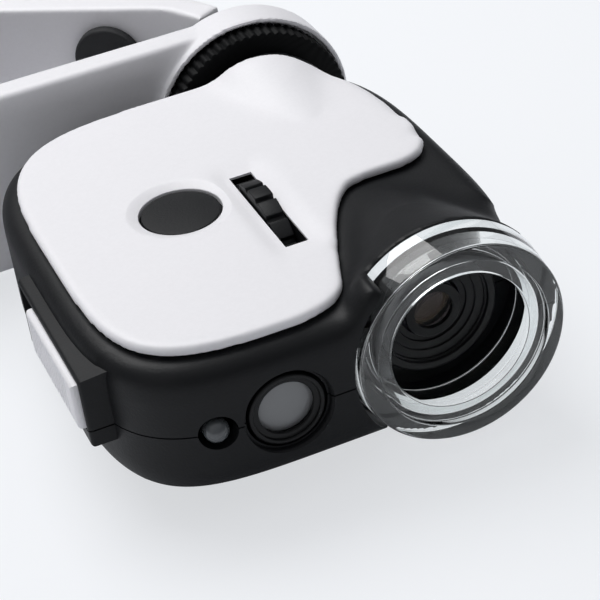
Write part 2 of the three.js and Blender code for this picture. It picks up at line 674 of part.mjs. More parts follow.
const tubeRadius = boss.boreRadius - gap;
const tubeFront = bodyBack - eyepiece.frontBeforeBack;
const tubeStep = bodyBack - eyepiece.stepBeforeBack;
const jawFront = bodyBack + jaw.behindCase;
const jawBack = jawFront + jaw.thickness;
const tubeBack = jawBack - eyepiece.sink;
const fieldBore = eyepiece.frontRadius - eyepiece.frontWall;
const eyeBore = tubeRadius - eyepiece.rearWall;
place('eyepiece_tube', turned([
  [fieldBore, tubeFront], [eyepiece.frontRadius, tubeFront], [eyepiece.frontRadius, tubeStep],
  [tubeRadius, tubeStep], [tubeRadius, tubeBack], [eyeBore, tubeBack],
  [eyeBore, tubeStep + eyepiece.rearWall],
  [fieldBore, tubeStep + eyepiece.rearWall],
]), finish.blackPlastic);
const eyeRadius = eyeBore - gap;
const eyeFront = bodyBack + lens.eyeBehindCase;
const fieldFront = tubeFront + lens.fieldInset;
place('field_lens', lensForm(fieldBore - gap, fieldFront, lens.fieldThickness), finish.glass);
place('eye_lens', lensForm(eyeRadius, eyeFront, lens.eyeThickness), finish.glass);
const eyeRingFront = eyeFront + lens.eyeThickness + gap;
place('eye_lens_ring', tube(
  eyeRadius - lens.ringWidth, eyeRadius, eyeRingFront, eyeRingFront + lens.eyeRingThickness, smallSteps,
), finish.blackPlastic);

// Torch: a sleeve with a lip, the lens behind the lip and the bulb behind the lens
const sleeveRadius = torch.holeRadius - 2 * gap;
const sleeveBore = sleeveRadius - torch.sleeveWall;
const sleeveBack = torchFront + torch.length;
const lipFront = torchFront + torch.stepDepth;
const lipBack = lipFront + torch.lipThickness;
place('torch_sleeve', atLamp(turned([
  [torch.stepRadius, torchFront], [sleeveRadius, torchFront], [sleeveRadius, sleeveBack],
  [sleeveBore, sleeveBack],
  [sleeveBore, lipBack], [torch.viewRadius, lipBack], [torch.viewRadius, lipFront],
  [torch.stepRadius, lipFront],
], smallSteps), torch.x), finish.blackPlastic);
place('torch_lens', atLamp(
  rod(sleeveBore - gap, lipBack + gap, lipBack + gap + torch.lensThickness, smallSteps), torch.x,
), finish.clearPlastic);

// A bulb with a round dome in front and a flange at the back
const domeAnglesDeg = [30, 60];
function ledForm(radius, flangeRadius, flange, length, front) {
  const dome = front + radius;
  const back = front + length;
  const profile = [[0, front]];
  domeAnglesDeg.forEach((deg) => {
    const angle = (deg * Math.PI) / 180;
    profile.push([radius * Math.sin(angle), dome - radius * Math.cos(angle)]);
  });
  profile.push([radius, dome], [radius, back - flange]);
  if (flangeRadius > radius) profile.push([flangeRadius, back - flange]);
  profile.push([flangeRadius, back], [0, back]);
  return turned(profile, smallSteps);
}
place('torch_bulb', atLamp(
  ledForm(bulb.radius, bulb.flangeRadius, bulb.flange, bulb.length, body.front + bulb.inset), torch.x,
), finish.clearPlastic);
place('uv_led', atLamp(
  ledForm(led.radius, led.flangeRadius, led.flange, led.length, ledFront), ledX,
), finish.clearPlastic);
place('specimen_led', ledForm(
  specimenLed.radius, specimenLed.radius, led.flange, specimenLed.length, specimenLed.front,
)
  .translate([specimenX, 0, specimenZ]), finish.clearPlastic);

// Circuit board, switch and the ribbed slider in its bezel
const boardLeft = bodyLeft + board.fromLeft;
const boardFront = body.front + board.inset;
const boardTop = body.parting - board.belowParting + board.thickness;
place('circuit_board', block(
  boardLeft, boardLeft + board.width, boardFront, boardFront + board.length,
  boardTop - board.thickness, boardTop,
), finish.board);
const canLeft = bodyLeft + switchCan.fromLeft;
const canFront = body.front + switchCan.inset;
place('switch_can', block(
  canLeft, canLeft + switchCan.width, canFront, canFront + switchCan.length,
  boardTop + gap, boardTop + gap + switchCan.height,
), finish.steel);
const sliderFront = openingFront + slider.endGap;
const sliderOuter = bezelOuter - slider.proud;
const sliderInner = sliderOuter + slider.thickness;
const tongueMiddle = sliderFront + slider.length / 2;
place('slide_switch', join(
  block(
    sliderOuter, sliderInner, sliderFront, sliderFront + slider.length,
    sliderTop - slider.height, sliderTop,
  ),
  block(
    sliderInner - gap, sliderInner + slider.tongueReach, tongueMiddle - slider.tongueLength / 2,
    tongueMiddle + slider.tongueLength / 2,
    sliderMiddle - slider.tongueHeight / 2, sliderMiddle + slider.tongueHeight / 2,
  ),
), finish.whitePlastic);

// Button cells side by side, the contact strips at both ends and the door under them
for (let i = 0; i < cell.count; i += 1) {
  const left = cellX - cellStack / 2 + i * (cell.thickness + cell.spacing);
  const disc = rod(cell.radius, left, left + cell.thickness, smallSteps);
  place(`button_cell_${i + 1}`, alongX(disc, cellY, cellZ), finish.steel);
}
[['front', bayLeft + gap], ['rear', bayRight - gap - contact.thickness]].forEach(([end, left]) => {
  place(`contact_${end}`, block(
    left, left + contact.thickness, cellY - contact.width / 2, cellY + contact.width / 2,
    cellZ - cell.radius, cellZ - cell.radius + contact.height,
  ), finish.brass);
});

function doorGrips() {
  const middleX = (bayLeft + bayRight) / 2;
  return Array.from({ length: door.grips }, (_, i) => {
    const y = bayBack - door.gripPitch * (i + 1);
    return block(
      middleX - door.gripWidth / 2, middleX + door.gripWidth / 2, y - door.gripPitch / 4,
      y + door.gripPitch / 4,
      body.bottom - overrun, body.bottom + door.gripDepth,
    );
  });
}
place('battery_door', cut(join(
  block(
    bayLeft - door.ledge + gap, bayRight + door.ledge - gap, bayFront - door.ledge + gap,
    bayBack + door.ledge - gap,
    body.bottom, body.bottom + door.skin,
  ),
  block(
    bayLeft + gap, bayRight - gap, bayFront + gap, bayBack - gap,
    body.bottom + door.skin / 2, body.bottom + door.skin + door.lip,
  ),
), ...doorGrips()), finish.blackPlastic);

// Case screws
screwPlaces.forEach(([x, y], i) => {
  const cross = (long, wide) => block(
    -long / 2, long / 2, -wide / 2, wide / 2, screwLow - overrun, screwLow + screw.crossDepth,
  );
  const neck = screwLow + screw.headHeight;
  const form = cut(
    alongZ(turned([
      [0, screwLow], [screw.headRadius, screwLow], [screw.headRadius, neck], [screw.shankRadius, neck],
      [screw.shankRadius, screwTip - screw.shankRadius], [0, screwTip],
    ], smallSteps), 0, 0),
    cross(screw.crossLength, screw.crossWidth), cross(screw.crossWidth, screw.crossLength),
  );
  place(`case_screw_${i + 1}`, form.translate([x, y, 0]), finish.steel);
});

// Knurled lock ring on the clip's split collar
const collarInner = tubeRadius + gap;
const collarOuter = collarInner + collar.wall;
const collarFront = bodyBack + collar.inset;
const ringInner = collarOuter + ring.clearance;
const ringRadius = ringInner + ring.wall;
const ringFront = bodyBack + ring.inset;
const ringBack = jawFront - gap;

function toothedRing() {
  const points = Array.from({ length: ring.teeth * 2 }, (_, i) => {
    const angle = (i / (ring.teeth * 2)) * 2 * Math.PI;
    const radius = i % 2 ? ringRadius - ring.toothDepth : ringRadius;
    return new THREE.Vector2(radius * Math.cos(angle), radius * Math.sin(angle));
  });
  return acrossY(new THREE.Shape(points), ringFront, ringBack);
}
const ringBore = join(
  rod(collarInner + gap, ringFront - overrun, ringBack + overrun),
  rod(ringInner, ringFront + ring.lip, ringBack + overrun),
);
place('lock_ring', cut(toothedRing(), ringBore), finish.rubber);

// Front jaw: disc, collar, channel-shaped arm and the outer pair of hinge ears
const discRadius = ringRadius + jaw.discMargin;
const pinY = jawBack + hinge.rise;

function armOutline(inset, startX) {
  const shape = new THREE.Shape();
  const high = jaw.halfHeight - inset;
  const end = jaw.handleEnd + inset;
  shape.moveTo(startX, -high);
  shape.lineTo(startX, high);
  shape.lineTo(jaw.handleTaperX, high);
  shape.quadraticCurveTo(end, high, end, 0);
  shape.quadraticCurveTo(end, -high, jaw.handleTaperX, -high);
  return shape;
}

function ear(bottom, reachY, sign) {
  const shape = new THREE.Shape();
  const from = sign > 0 ? 0 : Math.PI;
  shape.absarc(hinge.x, pinY, hinge.earRadius, from, from + Math.PI, false);
  shape.lineTo(hinge.x - sign * hinge.earRadius, reachY);
  shape.lineTo(hinge.x + sign * hinge.earRadius, reachY);
  return raised(shape, bottom, bottom + hinge.earThickness);
}

function discEdge(radius, y0, y1, edge) {
  const soft = edge * (1 - Math.SQRT1_2);
  return turned([
    [0, y0], [radius - edge, y0], [radius - soft, y0 + soft], [radius, y0 + edge], [radius, y1 - edge],
    [radius - soft, y1 - soft], [radius - edge, y1], [0, y1],
  ]);
}

const outerEarBottom = hinge.earTop - hinge.earThickness;
const pinHole = alongZ(
  rod(hinge.pinRadius + gap, -hinge.earTop - overrun, hinge.earTop + overrun, smallSteps), hinge.x, pinY,
);
const channel = cut(
  acrossY(armOutline(jaw.wall, -discRadius - jaw.wall), jawFront + jaw.wall, jawBack + overrun),
  rod(discRadius + jaw.wall, jawFront, jawBack + overrun + gap),
);
const collarSlots = Array.from({ length: collar.slots / 2 }, (_, i) => block(
  -collarOuter - overrun, collarOuter + overrun, collarFront - overrun, jawFront - gap,
  -collar.slotWidth / 2, collar.slotWidth / 2,
).rotate([0, (i * 360) / collar.slots, 0]));
const jawPlate = cut(
  join(
    acrossY(armOutline(0, 0), jawFront, jawBack, jaw.edgeRound, body.edgeSteps),
    discEdge(discRadius, jawFront, jawBack, jaw.edgeRound),
  ),
  channel,
);
const padInner = collarInner + frontPad.margin;
const padOuter = padInner + frontPad.width;
place('front_jaw', cut(
  join(
    jawPlate, rod(collarOuter, collarFront, jawFront + jaw.wall),
    ear(outerEarBottom, jawFront + jaw.wall / 2, 1), ear(-hinge.earTop, jawFront + jaw.wall / 2, 1),
  ),
  rod(collarInner, collarFront - overrun, jawBack + overrun), ...collarSlots, pinHole,
  tube(padInner - gap, padOuter + gap, jawBack - frontPad.recess, jawBack + overrun),
), finish.whitePlastic);
place('front_pad', tube(
  padInner, padOuter, jawBack - frontPad.recess + gap, jawBack + frontPad.proud,
), finish.rubber);

// Rear jaw: a bent ribbon with a flange along each edge and the inner pair of hinge ears
const waistY = pinY + rearJaw.waistRise;
const hook = new THREE.Vector2(
  rearJaw.tipX - rearJaw.hookRun, jawBack + frontPad.proud + rearJaw.tipGap + rearJaw.hookRise,
);
const crown = new THREE.Vector2(hook.x - rearJaw.slopeRun, hook.y + rearJaw.slopeRise);
const jawLine = [
  [new THREE.Vector2(rearJaw.tipX, hook.y - rearJaw.hookRise), 0],
  [hook, rearJaw.hookBend],
  [crown, rearJaw.crownBend],
  [new THREE.Vector2(crown.x - rearJaw.crownRun, crown.y), rearJaw.crownBend],
  [new THREE.Vector2(hinge.x + rearJaw.waistBefore, waistY), rearJaw.waistBend],
  [new THREE.Vector2(hinge.x - rearJaw.waistAfter, waistY), rearJaw.waistBend / 2],
  [new THREE.Vector2(rearJaw.endX, waistY + rearJaw.endRise), 0],
];

// Points along the line with its corners rounded, each with the outward normal
function bentLine(corners) {
  const path = new THREE.Path();
  path.moveTo(corners[0][0].x, corners[0][0].y);
  corners.slice(1, -1).forEach(([corner, trim], i) => {
    const before = corners[i][0];
    const after = corners[i + 2][0];
    const enter = corner.clone().add(before.clone().sub(corner).setLength(trim));
    const leave = corner.clone().add(after.clone().sub(corner).setLength(trim));
    path.lineTo(enter.x, enter.y);
    path.quadraticCurveTo(corner.x, corner.y, leave.x, leave.y);
  });
  const last = corners[corners.length - 1][0];
  path.lineTo(last.x, last.y);
  const points = path.getPoints(rearJaw.bendSteps);
  return points.map((point, i) => {
    const a = points[Math.max(i - 1, 0)];
    const b = points[Math.min(i + 1, points.length - 1)];
    const along = b.clone().sub(a).normalize();
    return { point, normal: new THREE.Vector2(along.y, -along.x) };
  });
}

const bend = bentLine(jawLine);

function ribbon(near, away, z0, z1) {
  const inner = bend.map(({ point, normal }) => point.clone().addScaledVector(normal, near));
  const outer = bend.map(({ point, normal }) => point.clone().addScaledVector(normal, away));
  return raised(new THREE.Shape([...inner.reverse(), ...outer]), z0, z1);
}

const innerEarTop = outerEarBottom - gap;
place('rear_jaw', cut(
  join(
    ribbon(0, rearJaw.wall, -rearJaw.halfHeight, rearJaw.halfHeight),
    ribbon(0, rearJaw.flange, rearJaw.halfHeight - rearJaw.wall, rearJaw.halfHeight),
    ribbon(0, rearJaw.flange, -rearJaw.halfHeight, rearJaw.wall - rearJaw.halfHeight),
    ear(innerEarTop - hinge.earThickness, waistY + rearJaw.wall / 2, -1),
    ear(-innerEarTop, waistY + rearJaw.wall / 2, -1),
  ),
  pinHole,
), finish.whitePlastic);

const slopeAngle = Math.atan2(rearJaw.slopeRise, -rearJaw.slopeRun);
const padEnd = rearPad.length / 2;
const padShape = new THREE.Shape();
padShape.absarc(padEnd, rearPad.height / 2 - padEnd, padEnd, 0, Math.PI);
padShape.absarc(padEnd, padEnd - rearPad.height / 2, padEnd, Math.PI, 2 * Math.PI);
const padForm = acrossY(padShape, 0, rearPad.thickness)
  .translate([rearPad.fromHook, gap, 0])
  .rotate([0, 0, (slopeAngle * 180) / Math.PI])
  .translate([hook.x, hook.y, 0]);
place('rear_pad', padForm, finish.rubber);

// Hinge pin, with a head on top
place('hinge_pin', alongZ(turned([
  [0, -hinge.earTop - gap], [hinge.pinRadius, -hinge.earTop - gap], [hinge.pinRadius, hinge.earTop + gap],
  [hinge.headRadius, hinge.earTop + gap], [hinge.headRadius, hinge.earTop + gap + hinge.headHeight],
  [0, hinge.earTop + gap + hinge.headHeight],
], smallSteps), hinge.x, pinY), finish.steel);

// Torsion spring round the pin: one wire, wound as a helix with a straight leg at each end
function springLine() {
  const start = (spring.frontLegAngleDeg * Math.PI) / 180;
  const end = (spring.rearLegAngleDeg * Math.PI) / 180 + 2 * Math.PI * spring.fullCurls;
  const turns = (end - start) / (2 * Math.PI);
  const steps = Math.round(turns * spring.stepsPerCurl);
  const low = (-turns * spring.pitch) / 2;
  const at = (angle, z) => new THREE.Vector3(
    hinge.x + spring.radius * Math.cos(angle), pinY + spring.radius * Math.sin(angle), z,
  );
  const points = Array.from({ length: steps + 1 }, (_, i) => {
    const share = i / steps;
    return at(start + (end - start) * share, low + turns * spring.pitch * share);
  });
  const frontLeg = new THREE.Vector3(Math.sin(start), -Math.cos(start), 0)
    .multiplyScalar(spring.frontLegLength);
  const rearLeg = new THREE.Vector3(-Math.sin(end), Math.cos(end), 0).multiplyScalar(spring.rearLegLength);
  points.unshift(points[0].clone().add(frontLeg));
  points.push(points[points.length - 1].clone().add(rearLeg));
  return points;
}

function wireAlong(points, radius, sides) {
  const rings = points.map((point, i) => {
    const a = points[Math.max(i - 1, 0)];
    const b = points[Math.min(i + 1, points.length - 1)];
    const along = b.clone().sub(a).normalize();
    const side = new THREE.Vector3(-along.y, along.x, 0).normalize();
    const up = along.clone().cross(side);
    return Array.from({ length: sides }, (_, k) => {
      const angle = (k / sides) * 2 * Math.PI;
      return point.clone()
        .addScaledVector(side, radius * Math.cos(angle)).addScaledVector(up, radius * Math.sin(angle));
    });
  });
  const positions = [];
  const triangle = (...corners) => corners.forEach((corner) => positions.push(corner.x, corner.y, corner.z));
  for (let i = 0; i + 1 < rings.length; i += 1) {
    for (let k = 0; k < sides; k += 1) {
      const next = (k + 1) % sides;
      triangle(rings[i][k], rings[i][next], rings[i + 1][next]);
      triangle(rings[i][k], rings[i + 1][next], rings[i + 1][k]);
    }
  }
  const last = rings[rings.length - 1];
  for (let k = 1; k + 1 < sides; k += 1) {
    triangle(rings[0][0], rings[0][k + 1], rings[0][k]);
    triangle(last[0], last[k], last[k + 1]);
  }
  const geometry = new THREE.BufferGeometry();
  geometry.setAttribute('position', new THREE.Float32BufferAttribute(positions, 3));
  return solidOf(geometry);
}

// Least distance between the surfaces of neighbouring curls, from the points of the line
function leastCurlGap(points) {
  let least = Infinity;
  points.forEach((a, i) => {
    points.slice(i + spring.stepsPerCurl / 2).forEach((b) => {
      least = Math.min(least, a.distanceTo(b));
    });
  });
  return least - spring.wire;
}

const coil = springLine();
console.log(`torsion spring: least gap between curls ${leastCurlGap(coil).toFixed(2)} mm`);
place('torsion_spring', wireAlong(coil, spring.wire / 2, spring.sides), finish.steel);

// Zero goes under the middle of the model's box
const box = new THREE.Box3().setFromObject(microscope);
const middle = box.getCenter(new THREE.Vector3());
microscope.position.set(-middle.x, -middle.y, -box.min.z);

export default microscope;
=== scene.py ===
import json
import math

import bpy
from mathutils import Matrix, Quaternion, Vector

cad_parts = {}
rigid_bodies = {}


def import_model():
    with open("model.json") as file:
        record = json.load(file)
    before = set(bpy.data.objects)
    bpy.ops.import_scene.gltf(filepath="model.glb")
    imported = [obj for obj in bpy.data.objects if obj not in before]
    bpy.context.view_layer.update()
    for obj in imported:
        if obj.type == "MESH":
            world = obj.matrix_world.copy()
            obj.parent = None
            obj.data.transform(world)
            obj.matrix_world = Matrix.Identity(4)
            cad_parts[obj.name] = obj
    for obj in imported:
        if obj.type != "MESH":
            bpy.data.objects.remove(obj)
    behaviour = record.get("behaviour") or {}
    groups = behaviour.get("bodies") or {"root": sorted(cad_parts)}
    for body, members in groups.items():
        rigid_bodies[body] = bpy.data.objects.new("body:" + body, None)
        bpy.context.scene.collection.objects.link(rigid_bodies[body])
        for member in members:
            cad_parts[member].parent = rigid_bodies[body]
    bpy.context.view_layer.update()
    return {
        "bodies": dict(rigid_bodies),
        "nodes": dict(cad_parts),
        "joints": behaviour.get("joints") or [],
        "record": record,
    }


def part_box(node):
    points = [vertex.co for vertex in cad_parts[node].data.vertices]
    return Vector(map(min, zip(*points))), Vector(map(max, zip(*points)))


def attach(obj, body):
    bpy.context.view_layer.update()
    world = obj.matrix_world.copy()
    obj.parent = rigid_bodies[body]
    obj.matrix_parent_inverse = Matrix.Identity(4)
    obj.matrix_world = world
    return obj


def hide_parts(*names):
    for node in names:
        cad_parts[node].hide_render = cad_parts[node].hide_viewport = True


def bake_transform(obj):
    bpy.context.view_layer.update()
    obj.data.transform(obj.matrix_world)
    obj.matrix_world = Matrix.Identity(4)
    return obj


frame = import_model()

# Clip-on phone microscope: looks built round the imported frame.
# Pieces are modelled in millimetres round the optical axis: zero is the middle of the clear cup's front rim,
# +Y runs back through the eyepiece to the phone, +Z is up. putInPlace turns a piece into metres in the frame.

millimetre = 0.001
cupLow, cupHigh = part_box("clear_cup")
axisStart = Vector(((cupLow.x + cupHigh.x) / 2, cupLow.y, (cupLow.z + cupHigh.z) / 2))
bpy.context.scene.view_settings.view_transform = "Standard"
bpy.ops.object.select_all(action="DESELECT")


# Camera where the photograph's camera stood

cameraSet = dict(azimuth=-18.57, elevation=34.405, roll=-8.168, place=(-46.035, -231.247, 159.324), lens=120, sensor=36)
turn, lift = math.radians(cameraSet["azimuth"]), math.radians(cameraSet["elevation"])
sight = Vector((-math.sin(turn) * math.cos(lift), math.cos(turn) * math.cos(lift), -math.sin(lift)))
aim = sight.to_track_quat("-Z", "Y") @ Quaternion((0, 0, 1), math.radians(cameraSet["roll"]))
bpy.ops.object.camera_add(location=Vector(cameraSet["place"]) * millimetre, rotation=aim.to_euler())
camera = bpy.context.object
camera.data.lens = cameraSet["lens"]
camera.data.sensor_width = cameraSet["sensor"]
camera.data.clip_start = 0.01
bpy.context.scene.camera = camera


def toLinear(hexColour):
    # sRGB hex value to the linear colour that a shader socket takes
    channels = [int(hexColour[place:place + 2], 16) / 255 for place in (1, 3, 5)]
    return [c / 12.92 if c <= 0.04045 else ((c + 0.055) / 1.055) ** 2.4 for c in channels] + [1]


def addNode(tree, kind, settings=None, values=None, links=None):
    # one shader node with its settings, socket values and incoming links
    node = tree.nodes.new(kind)
    for name, value in (settings or {}).items():
        setattr(node, name, value)
    for name, value in (values or {}).items():
        node.inputs[name].default_value = value
    for name, source in (links or {}).items():
        tree.links.new(source, node.inputs[name])
    return node


def emptyMaterial(name):
    material = bpy.data.materials.new(name)
    material.use_nodes = True
    material.node_tree.nodes.clear()
    return material, material.node_tree


def finishMaterial(tree, shader):
    addNode(tree, "ShaderNodeOutputMaterial", links={"Surface": shader})


# Painted studio board, very fine roller grain
floorSet = dict(size=3, colour="#EFF1F5", seen="#F8FAFD", grain=1.5, lifted=0.68, near=0.25, far=1.1)
bpy.ops.mesh.primitive_plane_add(size=floorSet["size"], location=(0, 0, 0))
floor = bpy.context.object
floor.name = "studio_floor"
material, tree = emptyMaterial("painted board")
place = addNode(tree, "ShaderNodeTexCoord")
grain = addNode(tree, "ShaderNodeTexNoise", values={"Scale": 1 / (floorSet["grain"] * millimetre), "Detail": 2},
                links={"Vector": place.outputs["Object"]})
bump = addNode(tree, "ShaderNodeBump", values={"Strength": 0.05, "Distance": 0.0001},
               links={"Height": grain.outputs["Fac"]})
board = addNode(tree, "ShaderNodeBsdfPrincipled",
                values={"Base Color": toLinear(floorSet["colour"]), "Roughness": 0.7, "Specular IOR Level": 0.3},
                links={"Normal": bump.outputs["Normal"]})
# what the camera sees, straight or through the clear cup, is lifted towards the plain pale colour, so that the
# shadow stays light, and wholly so far off
ray = addNode(tree, "ShaderNodeLightPath")
looked = addNode(tree, "ShaderNodeMath", settings={"operation": "MAXIMUM"})
tree.links.new(ray.outputs["Is Camera Ray"], looked.inputs[0])
tree.links.new(ray.outputs["Is Transmission Ray"], looked.inputs[1])
away = addNode(tree, "ShaderNodeVectorMath", settings={"operation": "LENGTH"}, links={0: place.outputs["Object"]})
share = addNode(tree, "ShaderNodeMapRange",
                values={"From Min": floorSet["near"], "From Max": floorSet["far"], "To Min": floorSet["lifted"], "To Max": 1},
                links={"Value": away.outputs["Value"]})
seen = addNode(tree, "ShaderNodeMath", settings={"operation": "MULTIPLY"},
               links={0: looked.outputs[0], 1: share.outputs["Result"]})
plain = addNode(tree, "ShaderNodeEmission", values={"Color": toLinear(floorSet["seen"]), "Strength": 1})
lifted = addNode(tree, "ShaderNodeMixShader",
                 links={0: seen.outputs[0], 1: board.outputs["BSDF"], 2: plain.outputs[0]})
finishMaterial(tree, lifted.outputs[0])
floor.data.materials.append(material)

# Soft box high up and a little behind on the left, a weak fill from the camera's left; the room gives the rest
lightSet = dict(key=(-0.06, 0.2, 0.44), keySize=0.34, keyPower=1.92, fill=(-0.5, -0.35, 0.3), fillSize=0.5,
                fillPower=0.22, walls=0.14, ceiling=0.65, wallTop=0.45, roomColour="#F4F6FA", background="#F8FAFD")


def addSoftBox(name, place, size, power):
    bpy.ops.object.light_add(type="AREA", location=place)
    lamp = bpy.context.object
    lamp.name = name
    lamp.data.size = size
    lamp.data.energy = power
    lamp.rotation_mode = "QUATERNION"
    lamp.rotation_quaternion = (-Vector(place)).to_track_quat("-Z", "Y")


addSoftBox("key softbox", lightSet["key"], lightSet["keySize"], lightSet["keyPower"])
addSoftBox("fill softbox", lightSet["fill"], lightSet["fillSize"], lightSet["fillPower"])
world = bpy.data.worlds.new("studio room")
bpy.context.scene.world = world
world.use_nodes = True
tree = world.node_tree
tree.nodes.clear()
ray = addNode(tree, "ShaderNodeLightPath")
seen = addNode(tree, "ShaderNodeMath", settings={"operation": "MAXIMUM"})
tree.links.new(ray.outputs["Is Camera Ray"], seen.inputs[0])
tree.links.new(ray.outputs["Is Transmission Ray"], seen.inputs[1])
way = addNode(tree, "ShaderNodeTexCoord")
height = addNode(tree, "ShaderNodeSeparateXYZ", links={0: way.outputs["Generated"]})
fromAbove = addNode(tree, "ShaderNodeMapRange",
                    values={"From Min": lightSet["wallTop"], "From Max": 1, "To Min": lightSet["walls"],
                            "To Max": lightSet["ceiling"]},
                    links={"Value": height.outputs["Z"]})
room = addNode(tree, "ShaderNodeBackground", values={"Color": toLinear(lightSet["roomColour"])},
               links={"Strength": fromAbove.outputs["Result"]})
backdrop = addNode(tree, "ShaderNodeBackground", values={"Color": toLinear(lightSet["background"]), "Strength": 1})
mixed = addNode(tree, "ShaderNodeMixShader",
                links={0: seen.outputs[0], 1: room.outputs[0], 2: backdrop.outputs[0]})
addNode(tree, "ShaderNodeOutputWorld", links={"Surface": mixed.outputs[0]})
print("camera, floor and light are set")


def mouldedPlastic(name, colour, roughness, grain, depth, mottle=0.04, gleam=0.5):
    # injection-moulded part: grain is the mould's texture in mm, depth its height in mm, mottle how uneven the gloss is
    material, tree = emptyMaterial(name)
    place = addNode(tree, "ShaderNodeTexCoord").outputs["Object"]
    fine = addNode(tree, "ShaderNodeTexNoise", values={"Scale": 1 / (grain * millimetre), "Detail": 3},
                   links={"Vector": place})
    cloud = addNode(tree, "ShaderNodeTexNoise", values={"Scale": 1 / (9 * millimetre), "Detail": 4},
                    links={"Vector": place})
    gloss = addNode(tree, "ShaderNodeMapRange",
                    values={"From Min": 0.3, "From Max": 0.7, "To Min": roughness - mottle, "To Max": roughness + mottle},
                    links={"Value": cloud.outputs["Fac"]})
    dark, light = toLinear(colour), [min(1, c * 1.06) for c in toLinear(colour)[:3]] + [1]
    shade = addNode(tree, "ShaderNodeMix", settings={"data_type": "RGBA"}, values={6: dark, 7: light},
                    links={"Factor": fine.outputs["Fac"]})
    bump = addNode(tree, "ShaderNodeBump", values={"Strength": 1, "Distance": depth * millimetre},
                   links={"Height": fine.outputs["Fac"]})
    plastic = addNode(tree, "ShaderNodeBsdfPrincipled", values={"IOR": 1.53, "Specular IOR Level": gleam},
                      links={"Base Color": shade.outputs[2], "Roughness": gloss.outputs["Result"],
                             "Normal": bump.outputs["Normal"]})
    finishMaterial(tree, plastic.outputs["BSDF"])
    return material


def clearMaterial(name, colour, ior, roughness, film=0.0, clarity=1.0):
    # see-through part; film is the thickness in nanometres of a lens coating, clarity falls as the part turns milky
    material, tree = emptyMaterial(name)
    place = addNode(tree, "ShaderNodeTexCoord").outputs["Object"]
    flow = addNode(tree, "ShaderNodeTexNoise", values={"Scale": 1 / (5 * millimetre), "Detail": 1},
                   links={"Vector": place})
    bump = addNode(tree, "ShaderNodeBump", values={"Strength": 0.06, "Distance": 0.0001},
                   links={"Height": flow.outputs["Fac"]})
    clear = addNode(tree, "ShaderNodeBsdfPrincipled",
                    values={"Base Color": toLinear(colour), "Roughness": roughness, "IOR": ior,
                            "Transmission Weight": clarity, "Thin Film Thickness": film, "Thin Film IOR": 1.38},
                    links={"Normal": bump.outputs["Normal"]})
    finishMaterial(tree, clear.outputs["BSDF"])
    return material


def platedMetal(name, colour, roughness, grain):
    # rolled or plated metal: faint lines one way, grain in mm
    material, tree = emptyMaterial(name)
    place = addNode(tree, "ShaderNodeTexCoord").outputs["Object"]
    stretched = addNode(tree, "ShaderNodeMapping", values={"Scale": (1, 1, 12)}, links={"Vector": place})
    lines = addNode(tree, "ShaderNodeTexNoise", values={"Scale": 1 / (grain * millimetre), "Detail": 2},
                    links={"Vector": stretched.outputs[0]})
    gloss = addNode(tree, "ShaderNodeMapRange", values={"To Min": roughness - 0.06, "To Max": roughness + 0.08},
                    links={"Value": lines.outputs["Fac"]})
    bump = addNode(tree, "ShaderNodeBump", values={"Strength": 0.2, "Distance": 0.00002},
                   links={"Height": lines.outputs["Fac"]})
    metal = addNode(tree, "ShaderNodeBsdfPrincipled", values={"Base Color": toLinear(colour), "Metallic": 1},
                    links={"Roughness": gloss.outputs["Result"], "Normal": bump.outputs["Normal"]})
    finishMaterial(tree, metal.outputs["BSDF"])
    return material


# Spark-eroded black ABS: a dry, finely pitted surface with broad soft highlights
blackAbs = mouldedPlastic("black ABS spark-eroded", "#151618", 0.46, 0.35, 0.03, mottle=0.05, gleam=0.19)
# Smooth black ABS of the tubes: the same plastic from a polished mould
glossBlackAbs = mouldedPlastic("black ABS polished", "#0B0C0D", 0.3, 0.8, 0.004, gleam=0.22)
# Satin white ABS: faint orange peel, soft even gloss
whiteAbs = mouldedPlastic("white ABS satin", "#E9E8EB", 0.42, 0.5, 0.006, mottle=0.03, gleam=0.3)
# Moulded rubber: dull, slightly dusty black
blackRubber = mouldedPlastic("moulded rubber", "#0B0C0D", 0.6, 0.25, 0.015, mottle=0.05, gleam=0.1)
# Foamed pad rubber: open matt surface
padRubber = mouldedPlastic("soft pad rubber", "#1E1F21", 0.78, 0.3, 0.04, mottle=0.04)
# Poured acrylic: clear with a very slight flow in its surface
clearAcrylic = clearMaterial("clear acrylic", "#F6F9F9", 1.49, 0.03)
# Ground optical glass with a thin anti-glare coating
lensGlass = clearMaterial("coated optical glass", "#F7FBFF", 1.52, 0.0, film=110)
# Frosted polycarbonate of the torch's window: milky grey with a soft glow
frostedWindow = clearMaterial("frosted polycarbonate", "#A4A6A8", 1.58, 0.3, clarity=0.45)
# LED epoxy, cast in a mould and filled with a diffuser: a hazy grey dome
ledEpoxy = clearMaterial("LED epoxy", "#74787B", 1.54, 0.2, clarity=0.5)
nickelSteel = platedMetal("nickel-plated steel", "#C2C3C5", 0.26, 0.3)
turnedBrass = platedMetal("turned brass", "#C9A75C", 0.3, 0.3)
# Glass-epoxy board under green solder resist
boardLaminate = mouldedPlastic("green board laminate", "#1F5B3A", 0.35, 1.2, 0.01)
print("materials are made")

def only(piece):
    bpy.ops.object.select_all(action="DESELECT")
    piece.select_set(True)
    bpy.context.view_layer.objects.active = piece


def useModifier(piece, kind, **settings):
    only(piece)
    modifier = piece.modifiers.new(kind.title(), kind)
    for name, value in settings.items():
        setattr(modifier, name, value)
    bpy.ops.object.modifier_apply(modifier=modifier.name)


def combine(operation, piece, *others):
    # UNION, DIFFERENCE or INTERSECT with each of the others in turn; the others are used up
    for other in others:
        useModifier(piece, "BOOLEAN", operation=operation, solver="MANIFOLD", object=other)
        bpy.data.objects.remove(other)
    return piece


